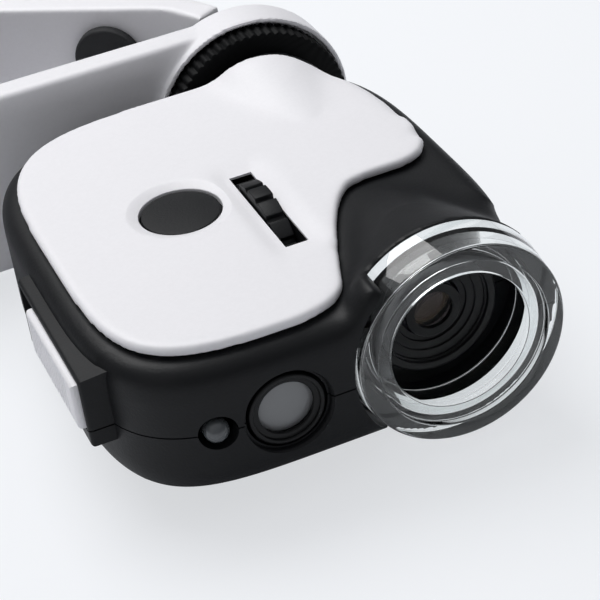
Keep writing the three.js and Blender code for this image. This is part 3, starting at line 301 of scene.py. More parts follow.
def choose(piece, kind, test):
    # selects the vertices, edges or faces whose middle (and normal, for faces) passes the test, in edit mode
    only(piece)
    mesh = piece.data
    for group in (mesh.vertices, mesh.edges, mesh.polygons):
        group.foreach_set("select", [False] * len(group))
    for item in getattr(mesh, kind):
        if kind == "vertices":
            item.select = test(item.co)
        elif kind == "edges":
            item.select = test(*(mesh.vertices[end].co for end in item.vertices))
        else:
            item.select = test(item.center, item.normal)
    bpy.ops.object.mode_set(mode="EDIT")
    bpy.ops.mesh.select_mode(type={"vertices": "VERT", "edges": "EDGE", "polygons": "FACE"}[kind])


def done():
    bpy.ops.object.mode_set(mode="OBJECT")


def relax(piece, test, repeat):
    # evens out the chosen part of a dense mesh, as a file and sandpaper would
    choose(piece, "vertices", test)
    bpy.ops.mesh.vertices_smooth(factor=0.5, repeat=repeat)
    done()


def roundEdges(piece, width, segments, test):
    choose(piece, "edges", test)
    bpy.ops.mesh.bevel(offset=width, segments=segments, profile=0.5, affect="EDGES")
    done()


def softened(profile, steps=4):
    # a closed outline whose corners (x, y, round) are rounded off
    points = []
    for place, corner in enumerate(profile):
        here = Vector(corner[:2])
        if len(corner) < 3:
            points.append(here)
            continue
        before, after = (Vector(profile[(place + step) % len(profile)][:2]) - here for step in (-1, 1))
        start, end = (here + way.normalized() * min(corner[2], way.length * 0.49) for way in (before, after))
        for step in range(steps + 1):
            share = step / steps
            points.append(start.lerp(here, share).lerp(here.lerp(end, share), share))
    return points


def drawn(points, across):
    # the outline as a filled or open ring of vertices; across says where each outline point goes in space
    bpy.ops.mesh.primitive_circle_add(vertices=len(points), fill_type="NOTHING")
    piece = bpy.context.object
    for vertex, point in zip(piece.data.vertices, points):
        vertex.co = across(*point)
    bpy.ops.object.mode_set(mode="EDIT")
    bpy.ops.mesh.select_all(action="SELECT")
    return piece


def closeMesh():
    bpy.ops.mesh.select_all(action="SELECT")
    bpy.ops.mesh.remove_doubles(threshold=0.0005)
    bpy.ops.mesh.delete_loose()
    bpy.ops.mesh.select_all(action="SELECT")
    bpy.ops.mesh.normals_make_consistent(inside=False)
    done()


def turned(profile, steps=128, at=(0, 0, 0), along="Y"):
    # a lathe form from (radius, length) or (radius, length, round) corners, its axis along Y, X or Z
    piece = drawn(softened(profile), lambda radius, length: (radius, length, 0))
    bpy.ops.mesh.spin(steps=steps, angle=2 * math.pi, center=(0, 0, 0), axis=(0, 1, 0))
    closeMesh()
    piece.location = at
    piece.rotation_euler = {"X": (0, 0, -math.pi / 2), "Y": (0, 0, 0), "Z": (math.pi / 2, 0, 0)}[along]
    bpy.ops.object.transform_apply(location=True, rotation=True)
    return piece


def rod(radius, low, high, at=(0, 0, 0), along="Y", steps=96):
    return turned([(0, low), (radius, low), (radius, high), (0, high)], steps, at, along)


def prism(points, low, high, along="Z"):
    # an outline given its thickness along one axis; across X it is drawn in (y, z), across Y in (x, z), along Z in (x, y)
    across = {"X": lambda u, v: (low, u, v), "Y": lambda u, v: (u, low, v), "Z": lambda u, v: (u, v, low)}[along]
    piece = drawn(points, across)
    bpy.ops.mesh.edge_face_add()
    bpy.ops.mesh.extrude_region_move(
        TRANSFORM_OT_translate={"value": [(high - low) * (axis == along) for axis in "XYZ"]})
    closeMesh()
    return piece


def block(x0, x1, y0, y1, z0, z1):
    return prism([(x0, y0), (x1, y0), (x1, y1), (x0, y1)], z0, z1)


def superellipse(middle, half, power, steps=192):
    # the case's outline; its front left corner is squarer than the others
    points = []
    for step in range(steps):
        turn = 2 * math.pi * step / steps
        sides = (math.cos(turn), math.sin(turn))
        fullness = case["cornerPower"] if max(sides) < 0 else power
        points.append([middle[axis] + half[axis] * math.copysign(abs(side) ** (2 / fullness), side)
                       for axis, side in enumerate(sides)])
    return points


def putInPlace(piece, name, body, finish, nodes, angle=35):
    # smooths the shading, gives the finish and turns millimetres round the axis into metres in the frame
    only(piece)
    piece.name = piece.data.name = name
    bpy.ops.object.shade_smooth_by_angle(angle=math.radians(angle))
    piece.scale = [millimetre] * 3
    piece.location = axisStart
    bpy.ops.object.transform_apply(location=True, rotation=True, scale=True)
    piece.data.materials.clear()
    piece.data.materials.append(finish)
    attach(piece, body)
    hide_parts(*nodes)
    return piece


fit = 0.3
past = 3


# Black case: two shells with a nose for the cup, a housing for the eyepiece and the switch's frame

case = dict(right=14, front=0.3, halfWidth=29, halfLength=32.3, power=3.6, cornerPower=4.3, top=8.5, bottom=-11, parting=-1,
            partGap=0.2, edge=2.8, lowEdge=4.8, wall=1.8, ceiling=1.6, floor=1.9, grid=0.42)
nose = dict(frontRadius=14.4, front=5.8, backRadius=8.6, back=27, pocket=14.6, mouth=14.42, pocketWall=1.5, bore=12, boreBack=11,
            bulkhead=1.6, throat=7, blend=3.2)
boss = dict(bore=9.6, wall=1.7, length=28.9, frontRadius=7.4, taper=24, boreLength=9.4)
shroud = dict(shoulder=4.5, back=8.5, turns=(131, 205))
torch = dict(x=-23.2, hole=5.6, lip=0.3, inset=0.6, length=9.6, wall=0.9, stepDepth=0.4, step=4.3, lipThickness=0.5,
             view=3.55, lens=1.9)
uvLamp = dict(fromLeft=12, radius=1.6, flange=1.9, length=6.8, inset=0.1, hole=2.4, sink=1.8)
bezel = dict(depth=1.5, inset=9.2, length=25.5, top=6.4, bottom=-3.3, rise=0.08, rim=0.6, bottomRim=2.1, edge=0.5)
middle = (case["right"] - case["halfWidth"], case["front"] + case["halfLength"])
left, back = middle[0] - case["halfWidth"], middle[1] + case["halfLength"]
bossRadius = boss["bore"] + boss["wall"]
bossFront = back - boss["length"]
cavityTop, cavityBottom = case["top"] - case["ceiling"], case["bottom"] + case["floor"]
bulkheadBack = nose["boreBack"] + nose["bulkhead"]
axle = dict(radius=1.2, y=29.6)
cover = dict(side=2.5, end=2.3, lift=0.3, thickness=1.4, edge=0.75, noseMargin=0.8, humpWall=1.2, holeLeft=8.2,
             holeBehind=0.7, hole=5.5, flareWidth=1.5, flareDepth=0.66, bayBack=27.9, lobe=4.4, lobeEnd=35.5,
             flare=(-20.5, 7.6), pull=(-13.2, 3.1), scoopSide=1.7, scoopRun=3.6, scoopDepth=0.55,
             slotLip=0.35, slotWall=0.7, grid=0.36)
coverLow = case["top"] + cover["lift"]
coverTop = coverLow + cover["thickness"]
buttonTop = coverTop - cover["flareDepth"]
wheel = dict(x=-13.35, radius=11.2, width=2.5, slotWidth=3.1, travel=4.5, rear=0.37)
screw = dict(head=1.9, headHeight=1.4, shank=1, sink=0.5, tipRoom=5.4, post=2.9, crossWidth=0.55, crossLength=2.4,
             crossDepth=0.8)
screwPlaces = [(left + 5.6, 10.2), (left + 5.9, back - 11.2), (-bossRadius - 2.9, back - 6), (case["right"] - 4.1, 36)]
screwLow = case["bottom"] + screw["sink"]
screwNeck, screwTip = screwLow + screw["headHeight"], case["top"] - screw["tipRoom"]
battery = dict(x=-29.6, y=43.5, radius=5.8, stack=9.75, margin=1, wall=1.1, ledge=1.1, skin=0.9, lip=1.2, grips=3,
               gripPitch=1.6, gripWidth=7, gripDepth=0.45)
bay = (battery["x"] - battery["stack"] / 2 - battery["margin"], battery["x"] + battery["stack"] / 2 + battery["margin"],
       battery["y"] - battery["radius"] - fit, battery["y"] + battery["radius"] + fit)


def noseRadius(y):
    return nose["frontRadius"] + (nose["backRadius"] - nose["frontRadius"]) * (y - nose["front"]) / (
        nose["back"] - nose["front"])


def grown(area, margin):
    return area[0] - margin, area[1] + margin, area[2] - margin, area[3] + margin


def caseSlab(inset, low, high, edge, lowEdge):
    half = (case["halfWidth"] - inset, case["halfLength"] - inset)
    piece = prism(superellipse(middle, half, case["power"]), low, high)
    roundEdges(piece, edge, 7, lambda a, b: min(a.z, b.z) > high - 0.01)
    roundEdges(piece, lowEdge, 9, lambda a, b: max(a.z, b.z) < low + 0.01)
    return piece


def bossForm(extra, end, edge=0.0):
    return turned([(0, bossFront), (boss["frontRadius"] + extra, bossFront),
                   (bossRadius + extra, bossFront + boss["taper"]), (bossRadius + extra, end, edge + 0.01), (0, end)])


def slotEnds(level, rear=0.0):
    chord = math.sqrt(wheel["radius"] ** 2 - level ** 2) + fit
    return axle["y"] - wheel["travel"] - chord, axle["y"] + chord + rear


def wheelSlot(level, low, high, rear=0.0):
    half = wheel["slotWidth"] / 2
    return block(wheel["x"] - half, wheel["x"] + half, *slotEnds(level, rear), low, high)


def slotCollar(extra, low, high):
    # the case's raised edge that lines the slot in the plate from below
    margin = cover["slotWall"] + extra
    half = wheel["slotWidth"] / 2 + margin
    slotFront, slotBack = slotEnds(cavityTop)
    return block(wheel["x"] - half, wheel["x"] + half, slotFront - margin, slotBack + margin + wheel["rear"], low, high)


def shroudForm(extra):
    # the shoulder that wraps the cup's left side
    radius = nose["pocket"] + nose["pocketWall"] + extra
    return turned([(0, case["front"]), (radius, case["front"], 0.5), (radius, shroud["shoulder"], 0.8),
                   (noseRadius(shroud["back"]) + extra, shroud["back"] + extra), (0, shroud["back"] + extra)], 192)


def makeCase():
    reach = case["halfWidth"]
    edges = [(reach * math.cos(math.radians(turn)), reach * math.sin(math.radians(turn))) for turn in shroud["turns"]]
    sector = prism([(0, 0), edges[0], (-reach, 0), edges[1]], -past, shroud["back"] + past, "Y")
    shell = combine(
        "UNION", caseSlab(0, case["bottom"], case["top"], case["edge"], case["lowEdge"]),
        turned([(0, nose["front"]), (nose["frontRadius"], nose["front"]), (nose["backRadius"], nose["back"]),
                (0, nose["back"])], 192),
        bossForm(0, back, 0.8), combine("INTERSECT", shroudForm(0), sector))
    useModifier(shell, "REMESH", mode="VOXEL", voxel_size=case["grid"])
    # the nose and the eyepiece housing run into the case with soft hollows
    near = nose["blend"]

    def atNose(co):
        reach = math.hypot(co.x, co.z)
        return (nose["front"] + 0.6 < co.y < nose["back"] + 6 and abs(reach - noseRadius(min(co.y, nose["back"]))) < near
                and (abs(co.z - case["top"]) < near or abs(co.x - case["right"]) < near
                     or abs(co.z - case["bottom"]) < near))

    def atBoss(co):
        return (co.y > bossFront and abs(math.hypot(co.x, co.z) - bossRadius) < 1.6
                and (abs(co.z - case["top"]) < 1.6 or abs(co.z - case["bottom"]) < 1.6))
    def atShroud(co):
        return (co.x < -8 and co.z > 4 and case["front"] - 1 < co.y < shroud["back"] + 3
                and math.hypot(co.x, co.z) > nose["pocket"] - 1)
    relax(shell, lambda co: True, 3)
    relax(shell, atNose, 60)
    relax(shell, atBoss, 12)
    relax(shell, atShroud, 30)
    bezelFront = case["front"] + bezel["inset"]
    bezelOuter, deep = left - bezel["depth"], left + 4
    frame = prism([(bezelOuter, bezel["bottom"]), (deep, bezel["bottom"]),
                   (deep, bezel["top"] + bezel["rise"] * (deep - bezelOuter)), (bezelOuter, bezel["top"])],
                  bezelFront, bezelFront + bezel["length"], "Y")
    roundEdges(frame, bezel["edge"], 4, lambda a, b: max(a.x, b.x) < left)
    holeSpot = (middle[0] - cover["holeLeft"], middle[1] + cover["holeBehind"], 0)
    button = turned([(0, cavityTop + fit), (cover["hole"] - fit, cavityTop + fit),
                     (cover["hole"] - fit, buttonTop, 0.2), (0, buttonTop)], 96, holeSpot, "Z")
    collar = slotCollar(0, case["top"] - 1, coverTop - cover["scoopDepth"] - cover["slotLip"])
    combine("UNION", shell, frame, button, collar)

    # inside: floor, ceiling and walls, with the pocket, posts and battery box left standing
    cavity = caseSlab(case["wall"], cavityBottom, cavityTop, 1, case["lowEdge"] - case["wall"])
    lining = rod(nose["pocket"] + nose["pocketWall"], case["front"], bulkheadBack)
    posts = [rod(screw["post"], cavityBottom - 1, cavityTop + 1, (x, y, 0), "Z", 24) for x, y in screwPlaces]
    bayWalls = combine("DIFFERENCE",
                       block(*grown(bay, battery["wall"]), cavityBottom - 1, case["parting"] - 0.5),
                       block(*bay, cavityBottom - past, case["parting"]))
    combine("DIFFERENCE", cavity, lining, *posts, bayWalls)
    combine("DIFFERENCE", shell, cavity)
    for x, y in screwPlaces:
        combine("DIFFERENCE", shell,
                rod(screw["head"] + fit, case["bottom"] - past, screwNeck + fit, (x, y, 0), "Z", 32),
                rod(screw["shank"] + fit, screwNeck, screwTip + fit, (x, y, 0), "Z", 24))
    combine("DIFFERENCE", shell, block(*bay, case["bottom"] - past, cavityBottom + fit),
            block(*grown(bay, battery["ledge"]), case["bottom"] - past, case["bottom"] + battery["skin"] + fit))
    torchFront = case["front"] + torch["inset"]
    lampFace = case["front"] + uvLamp["inset"]
    combine(
        "DIFFERENCE", shell,
        turned([(0, -past), (nose["mouth"] + 0.1, -past), (nose["mouth"] + 0.05, case["front"], 0.1),
                (nose["mouth"], case["front"] + 0.3), (nose["pocket"], nose["front"]), (0, nose["front"])], 192),
        rod(nose["bore"], nose["front"] - past, nose["boreBack"]),
        rod(nose["throat"], nose["boreBack"] - past, bulkheadBack + past),
        rod(boss["bore"], back - boss["boreLength"], back + past),
        rod(6.6, 13, 35.3),
        wheelSlot(cavityTop, 0, case["top"] + past), wheelSlot(cavityBottom, case["bottom"] - past, 0),
        turned([(0, -past), (torch["hole"] + torch["lip"] + 0.6, -past),
                (torch["hole"] + torch["lip"], case["front"], 0.2), (torch["hole"], case["front"] + 0.4, 0.2),
                (torch["hole"], torchFront + fit), (0, torchFront + fit)], 96, (torch["x"], 0, case["parting"])),
        rod(torch["hole"] - fit, case["front"], case["front"] + 5, (torch["x"], 0, case["parting"])),
        turned([(0, -past), (uvLamp["hole"] + 0.5, -past), (uvLamp["hole"] + 0.15, case["front"], 0.2),
                (uvLamp["hole"], case["front"] + 0.4), (uvLamp["hole"], lampFace + 5), (0, lampFace + 5)], 64, (left + uvLamp["fromLeft"], 0, case["parting"])))
    opening = [bezelFront + bezel["rim"], bezelFront + bezel["length"] - bezel["rim"],
               bezel["bottom"] + bezel["bottomRim"], bezel["top"] - bezel["rim"]]
    combine("DIFFERENCE", shell, block(left - bezel["depth"] - past, left + case["wall"] + 1.5, *opening))
    return shell


shell = makeCase()
topShell = shell
bottomShell = shell.copy()
bottomShell.data = shell.data.copy()
bpy.context.collection.objects.link(bottomShell)
wide = (middle[0] - 60, middle[0] + 60, middle[1] - 60, middle[1] + 60)
combine("INTERSECT", topShell, block(*wide, case["parting"] + case["partGap"] / 2, 30))
combine("INTERSECT", bottomShell, block(*wide, -30, case["parting"] - case["partGap"] / 2))
putInPlace(topShell, "top_shell", "housing", blackAbs, ["upper_shell"])
putInPlace(bottomShell, "bottom_shell", "housing", blackAbs, ["lower_shell"])
print("black case is made:", len(topShell.data.polygons), "and", len(bottomShell.data.polygons), "faces")

# White cover plate, cut back round the nose and humped over the eyepiece housing


def curve(start, pull, end, steps=14):
    start, pull, end = Vector(start), Vector(pull), Vector(end)
    shares = [step / steps for step in range(steps + 1)]
    return [start.lerp(pull, share).lerp(pull.lerp(end, share), share) for share in shares]


def coverOutline():
    half = (case["halfWidth"] - cover["side"], case["halfLength"] - cover["end"])
    right = middle[0] + half[0]
    whole = superellipse(middle, half, case["power"], 256)
    kept = [point for point in whole if not (point[0] > cover["flare"][0] and point[1] < cover["lobeEnd"])]

    def besideNose(y):
        return -math.sqrt(max(noseRadius(y) ** 2 - case["top"] ** 2, 0)) - cover["noseMargin"]
    last = cover["bayBack"] - cover["noseMargin"] * 2
    flareEnd = cover["flare"][1]
    bay = curve((cover["flare"][0], middle[1] - half[1]), cover["pull"], (besideNose(flareEnd), flareEnd))
    steps = 12
    for step in range(1, steps + 1):
        y = flareEnd + (last - flareEnd) * step / steps
        bay.append(Vector((besideNose(y), y)))
    corner = besideNose(last) + cover["noseMargin"]
    bay += curve(bay[-1], (corner, cover["bayBack"]), (cover["lobe"] - cover["noseMargin"], cover["bayBack"]))[1:]
    bay += curve((cover["lobe"], cover["bayBack"]), (right - fit, cover["bayBack"] - fit), (right, cover["lobeEnd"]))
    start = max(range(len(kept)), key=lambda place: (Vector(kept[place]) - Vector(kept[place - 1])).length)
    return kept[start:] + kept[:start] + bay


def makeCover():
    sheet = prism(coverOutline(), coverLow, coverTop)
    roundEdges(sheet, cover["edge"], 4, lambda a, b: min(a.z, b.z) > coverTop - 0.01)
    # the hump and a strip of the plate first run on past the real end, so that smoothing doesn't eat their corner
    rim = superellipse(middle, (case["halfWidth"] - cover["side"], case["halfLength"] - cover["end"]), case["power"])
    tailEnd = back + 6
    tail = [-bossRadius - 10, case["right"], back - 14, tailEnd]
    hump = combine("INTERSECT", bossForm(fit + cover["humpWall"], tailEnd),
                   block(*tail[:2], 0, tailEnd + past, coverLow, bossRadius + 4))
    strip = block(tail[0], 0, back - 5, tailEnd, coverLow, coverTop)
    combine("UNION", sheet, hump, strip)
    # a shallow scoop round the slot lets the fingertip reach the wheel; each end is a ramp
    slotFront, slotBack = slotEnds(coverLow, wheel["rear"])
    run, floorLevel = cover["scoopRun"], coverTop - cover["scoopDepth"]
    half = wheel["slotWidth"] / 2 + cover["scoopSide"]
    scoop = prism([(slotFront - run, coverTop), (slotFront, floorLevel), (slotBack, floorLevel), (slotBack + run, coverTop),
                   (slotBack + run, coverTop + 2), (slotFront - run, coverTop + 2)], wheel["x"] - half, wheel["x"] + half, "X")
    combine("DIFFERENCE", sheet, scoop, bossForm(fit, tailEnd + past), shroudForm(fit))
    useModifier(sheet, "REMESH", mode="VOXEL", voxel_size=cover["grid"])
    humpRadius = bossRadius + fit + cover["humpWall"]

    def atHump(co):
        return (co.y > bossFront - 4 and co.z > coverLow + 0.3 and abs(math.hypot(co.x, co.z) - humpRadius) < 2.2
                and abs(co.z - coverTop) < 1.5)

    def atScoop(co):
        return (abs(abs(co.x - wheel["x"]) - half) < 1 and co.z > coverTop - 1
                and slotFront - run - 1 < co.y < slotBack + run + 1)

    def atRearRim(co):
        reach = [abs(co[axis] - middle[axis]) / (half - trim) for axis, (half, trim) in
                 enumerate(((case["halfWidth"], cover["side"]), (case["halfLength"], cover["end"])))]
        return co.y > tail[2] and co.x > tail[0] - 1 and co.z > coverTop - 0.5 and sum(
            share ** case["power"] for share in reach) > 0.95
    relax(sheet, atHump, 60)
    relax(sheet, atScoop, 22)
    combine("DIFFERENCE", sheet, combine("DIFFERENCE", block(tail[0] - 1, tail[1] + 1, tail[2], tailEnd + past, 0, 30),
                                         prism(rim, -past, 30 + past)))
    useModifier(sheet, "REMESH", mode="VOXEL", voxel_size=cover["grid"])
    relax(sheet, lambda co: True, 2)
    relax(sheet, atRearRim, 6)
    hole = cover["hole"]
    combine(
        "DIFFERENCE", sheet,
        turned([(0, coverLow - past), (hole, coverLow - past), (hole, buttonTop + 0.1, 0.1),
                (hole + cover["flareWidth"], coverTop + 0.03, 0.6), (hole + cover["flareWidth"] + 0.7, coverTop + 0.05),
                (hole + cover["flareWidth"], coverTop + past), (0, coverTop + past)], 128,
               (middle[0] - cover["holeLeft"], middle[1] + cover["holeBehind"], 0), "Z"),
        slotCollar(0.05, coverLow - past, coverTop - cover["scoopDepth"] - cover["slotLip"] + 0.05),
        wheelSlot(coverLow, coverLow - past, coverTop + past, wheel["rear"]))
    return putInPlace(sheet, "top_cover", "housing", whiteAbs, ["cover_plate"])


makeCover()
print("cover plate is made")

# Clear cup: a short tube with a stepped front rim and a spigot that seats in the nose
cup = dict(front=13.7, rear=14.3, length=5.5, bore=9.35, ledge=11.45, ledgeDepth=0.9, wall=1.1, inner=11, spigot=11.7,
           spigotLength=2.3, soft=0.18, gateTurn=214, gateRadius=0.55)
end = cup["length"] + cup["spigotLength"]
soft = cup["soft"]
clearCup = turned([
    (cup["bore"], cup["ledgeDepth"], soft), (cup["ledge"], cup["ledgeDepth"], soft), (cup["ledge"], 0, soft),
    (cup["front"], 0, 2 * soft), (cup["rear"], cup["length"], soft), (cup["spigot"], cup["length"]),
    (cup["spigot"], end, soft), (cup["inner"], end, soft), (cup["inner"], cup["ledgeDepth"] + cup["wall"], soft),
    (cup["bore"], cup["ledgeDepth"] + cup["wall"], soft)], 192)
gate = math.radians(cup["gateTurn"])
reach = (cup["ledge"] + cup["front"]) / 2 - 0.4
bpy.ops.mesh.primitive_uv_sphere_add(segments=24, ring_count=12, radius=cup["gateRadius"],
                                     location=(reach * math.cos(gate), cup["gateRadius"] + 0.02, reach * math.sin(gate)))
combine("UNION", clearCup, bpy.context.object)
putInPlace(clearCup, "cup_clear", "clear_cup", clearAcrylic, ["clear_cup"])

# Focusing tube: a ringed hood that keeps stray light off the objective, on a plain tube that slides in the case
tube = dict(radius=5.6, bore=4.4, back=42, hood=8.6, hoodFront=8.2, hoodLength=2.4, lip=1.1, dish=0.5, cell=4.1,
            cellBack=11.5, shoulder=0.8, aperture=2.6, ring=0.35, rings=3)
hoodBack = tube["hoodFront"] + tube["hoodLength"]
hoodFloor = tube["hoodFront"] + tube["dish"]
inner, outer = tube["cell"], tube["hood"] - tube["lip"]
profile = [(tube["cell"], hoodFloor + 0.9, 0.1)]
pitch = (outer - inner) / tube["rings"]
for ring in range(tube["rings"]):
    # each ring is a low step down towards the lens
    depth = hoodFloor + 0.9 - 0.3 * ring
    profile += [(inner + pitch * (ring + 0.75), depth, 0.08), (inner + pitch * (ring + 0.75), depth - 0.3, 0.08)]
profile += [(outer, hoodFloor, 0.1), (outer, tube["hoodFront"], 0.15), (tube["hood"], tube["hoodFront"], 0.25),
            (tube["hood"], hoodBack, 0.2), (tube["radius"], hoodBack), (tube["radius"], tube["back"], 0.15),
            (tube["bore"], tube["back"]), (tube["bore"], tube["cellBack"] + tube["shoulder"]),
            (tube["aperture"], tube["cellBack"] + tube["shoulder"]), (tube["aperture"], tube["cellBack"]),
            (tube["cell"], tube["cellBack"])]
focusTube = turned(profile, 128)
combine("DIFFERENCE", focusTube, rod(axle["radius"] + fit, -tube["radius"] - past, past - tube["bore"],
                                     (0, axle["y"], 0), "X", 32))
putInPlace(focusTube, "focus_tube", "barrel", glossBlackAbs, ["objective_barrel"])
print("cup and focusing tube are made")



def lens(radius, front, thickness, edgeShare=0.45, steps=10):
    # a biconvex disc with a thin cylindrical edge
    bulge = thickness * (1 - edgeShare) / 2
    shares = [step / steps for step in range(steps + 1)]
    profile = [(radius * share, front + bulge * share * share) for share in shares]
    profile += [(radius * share, front + thickness - bulge * share * share) for share in reversed(shares)]
    return turned(profile, 96)


def ringOf(inner, outer, low, high, soft=0.12, steps=96):
    return turned([(inner, low, soft), (outer, low, soft), (outer, high, soft), (inner, high, soft)], steps)


# Lenses and the rings that hold them; the objective's ring is blackened so that it doesn't glare
optics = dict(objective=(3.8, 9.5, 1.7), relay=(4.1, 37, 1.5), field=(5.3, 47.5, 2.4), eye=(7.6, 65.4, 4))
glasses = {"objective": ("objective_lens", "barrel"), "relay": ("relay_lens", "barrel"),
           "field": ("field_lens", "housing"), "eye": ("eye_lens", "housing")}
for name, (node, body) in glasses.items():
    putInPlace(lens(*optics[name]), name + "_glass", body, lensGlass, [node])
putInPlace(ringOf(2.6, 3.8, 8.5, 9.2), "objective_retainer", "barrel", glossBlackAbs, ["objective_ring"])
putInPlace(ringOf(2.9, 4.1, 38.8, 39.5), "relay_retainer", "barrel", glossBlackAbs, ["relay_ring"])
putInPlace(ringOf(6.4, 7.6, 69.7, 71.1, 0.25), "eye_lens_retainer", "housing", glossBlackAbs,
           ["eye_lens_ring"])
eyeTube = turned([(5.6, 46), (6.6, 46, 0.2), (6.6, 56), (9.3, 56, 0.3), (9.3, 73.6, 0.5), (7.9, 73.6, 0.3),
                  (7.9, 57.4), (5.6, 57.4)], 128)
putInPlace(eyeTube, "eyepiece_sleeve", "housing", glossBlackAbs, ["eyepiece_tube"])

# Torch: stepped sleeve, frosted lens and bulb; beside it the small violet lamp
atTorch = (torch["x"], 0, case["parting"])
torchFront = case["front"] + torch["inset"]
sleeve = torch["hole"] - 2 * fit
lipFront = torchFront + torch["stepDepth"]
lipBack = lipFront + torch["lipThickness"]
putInPlace(turned([(torch["step"], torchFront, 0.25), (sleeve, torchFront, 0.5), (sleeve, torchFront + torch["length"]),
                   (sleeve - torch["wall"], torchFront + torch["length"]), (sleeve - torch["wall"], lipBack),
                   (torch["view"], lipBack, 0.1), (torch["view"], lipFront, 0.25), (torch["step"], lipFront, 0.1)],
                  96, atTorch), "torch_bezel", "housing", glossBlackAbs, ["torch_sleeve"])
glassRadius = sleeve - torch["wall"] - fit
putInPlace(turned([(0, lipBack + 0.05), (1.8, lipBack + 0.1, 1), (glassRadius, lipBack + 0.35, 0.1),
                   (glassRadius, lipBack + torch["lens"], 0.1), (0, lipBack + torch["lens"])], 96, atTorch),
           "torch_window", "housing", frostedWindow, ["torch_lens"])


def bulbForm(radius, flangeRadius, flange, length, front, at):
    turns = [math.radians(9 * step) for step in range(11)]
    profile = [(radius * math.sin(turn), front + radius - radius * math.cos(turn)) for turn in turns]
    end = front + length
    profile += [(radius, end - flange)]
    if flangeRadius > radius:
        profile += [(flangeRadius, end - flange, 0.1)]
    return turned(profile + [(max(radius, flangeRadius), end, 0.1), (0, end)], 48, at)


putInPlace(bulbForm(2.5, 2.9, 1, 5.6, case["front"] + 7.2, atTorch), "torch_lamp", "housing", ledEpoxy,
           ["torch_bulb"])
putInPlace(bulbForm(uvLamp["radius"], uvLamp["flange"], 0.9, uvLamp["length"], case["front"] + uvLamp["inset"],
                    (left + uvLamp["fromLeft"], 0, case["parting"])), "violet_lamp", "housing", ledEpoxy,
           ["uv_led"])
specimenTurn = math.radians(222)
putInPlace(bulbForm(1.5, 1.5, 0.9, 5.2, 8.3, (10.3 * math.cos(specimenTurn), 0, 10.3 * math.sin(specimenTurn))),
           "specimen_lamp", "housing", ledEpoxy, ["specimen_led"])
print("lenses and lamps are made")

# Switch slider: a rounded block with fine ribs for the thumb and a tongue that drives the switch
slider = dict(length=18.6, height=6.4, thickness=1.8, topGap=0.3, endGap=0.4, tongue=(5, 2.6, 4), proud=0.9, ribs=13,
              ribPitch=1.16, ribStart=3, ribMargin=0.55, grooveWidth=0.5, grooveDepth=0.35,
              edge=0.5)


def makeSlider():
    front = case["front"] + bezel["inset"] + bezel["rim"] + slider["endGap"]
    top = bezel["top"] - bezel["rim"] - slider["topGap"]
    outer = left - bezel["depth"] - slider["proud"]
    piece = block(outer, outer + slider["thickness"], front, front + slider["length"], top - slider["height"], top)
    roundEdges(piece, slider["edge"], 3, lambda a, b: max(a.x, b.x) < outer + 0.01)
    half, depth = slider["grooveWidth"] / 2, slider["grooveDepth"]
    for rib in range(slider["ribs"]):
        y = front + slider["ribStart"] + rib * slider["ribPitch"]
        groove = prism([(outer - 1, y - half - 0.12), (outer, y - half), (outer + depth, y - half * 0.5),
                        (outer + depth, y + half * 0.5), (outer, y + half), (outer - 1, y + half + 0.12)],
                       top - slider["height"] + slider["ribMargin"], top - slider["ribMargin"])
        combine("DIFFERENCE", piece, groove)
    useModifier(piece, "BEVEL", width=0.09, segments=2, limit_method="ANGLE", angle_limit=math.radians(35))
    length, height, reach = slider["tongue"]
    y, z = front + slider["length"] / 2, top - slider["height"] / 2
    inner = outer + slider["thickness"]
    combine("UNION", piece, block(inner - fit, inner + reach, y - length / 2, y + length / 2, z - height / 2,
                                  z + height / 2))
    return putInPlace(piece, "switch_slider", "slide_switch", whiteAbs, ["slide_switch"])


makeSlider()

# Focus wheel: thick flat ribs with narrow grooves, dished sides
wheelShape = dict(ribs=20, grooveTop=0.62, grooveFoot=0.3, depth=0.62, rimWidth=2.4, web=1.5, hub=3)


def makeWheel():
    radius, half = wheel["radius"], wheel["width"] / 2
    bore, rim, web = axle["radius"] + fit, radius - wheelShape["rimWidth"], wheelShape["web"] / 2
    piece = turned([(bore, -half, 0.1), (wheelShape["hub"], -half, 0.15), (wheelShape["hub"], -web), (rim, -web),
                    (rim, -half, 0.2), (radius, -half), (radius, half), (rim, half, 0.2), (rim, web),
                    (wheelShape["hub"], web), (wheelShape["hub"], half, 0.15), (bore, half, 0.1)], 160,
                   (wheel["x"], axle["y"], 0), "X")
    wide, narrow, foot = wheelShape["grooveTop"], wheelShape["grooveFoot"], radius - wheelShape["depth"]
    for rib in range(wheelShape["ribs"]):
        turn = math.radians(360 * (rib + 0.5) / wheelShape["ribs"])
        out, side = Vector((math.cos(turn), math.sin(turn))), Vector((-math.sin(turn), math.cos(turn)))
        corners = [out * reach + side * shift for reach, shift in
                   ((radius + 1, -wide), (radius, -wide * 0.8), (foot, -narrow), (foot, narrow), (radius, wide * 0.8),
                    (radius + 1, wide))]
        combine("DIFFERENCE", piece, prism([(axle["y"] + corner.x, corner.y) for corner in corners],
                                           wheel["x"] - 3, wheel["x"] + 3, "X"))
    useModifier(piece, "BEVEL", width=0.14, segments=3, limit_method="ANGLE", angle_limit=math.radians(40))
    return putInPlace(piece, "focus_dial", "focus_wheel", blackAbs, ["focus_wheel"])


makeWheel()
print("slider and focus wheel are made")

# Knurled lock ring on the clip's split collar
lockRing = dict(radius=14, inner=11.35, front=65.3, back=69.1, lip=1, lipInner=9.9, teeth=66, depth=0.32, edge=0.3,
                stepsPerTooth=8)


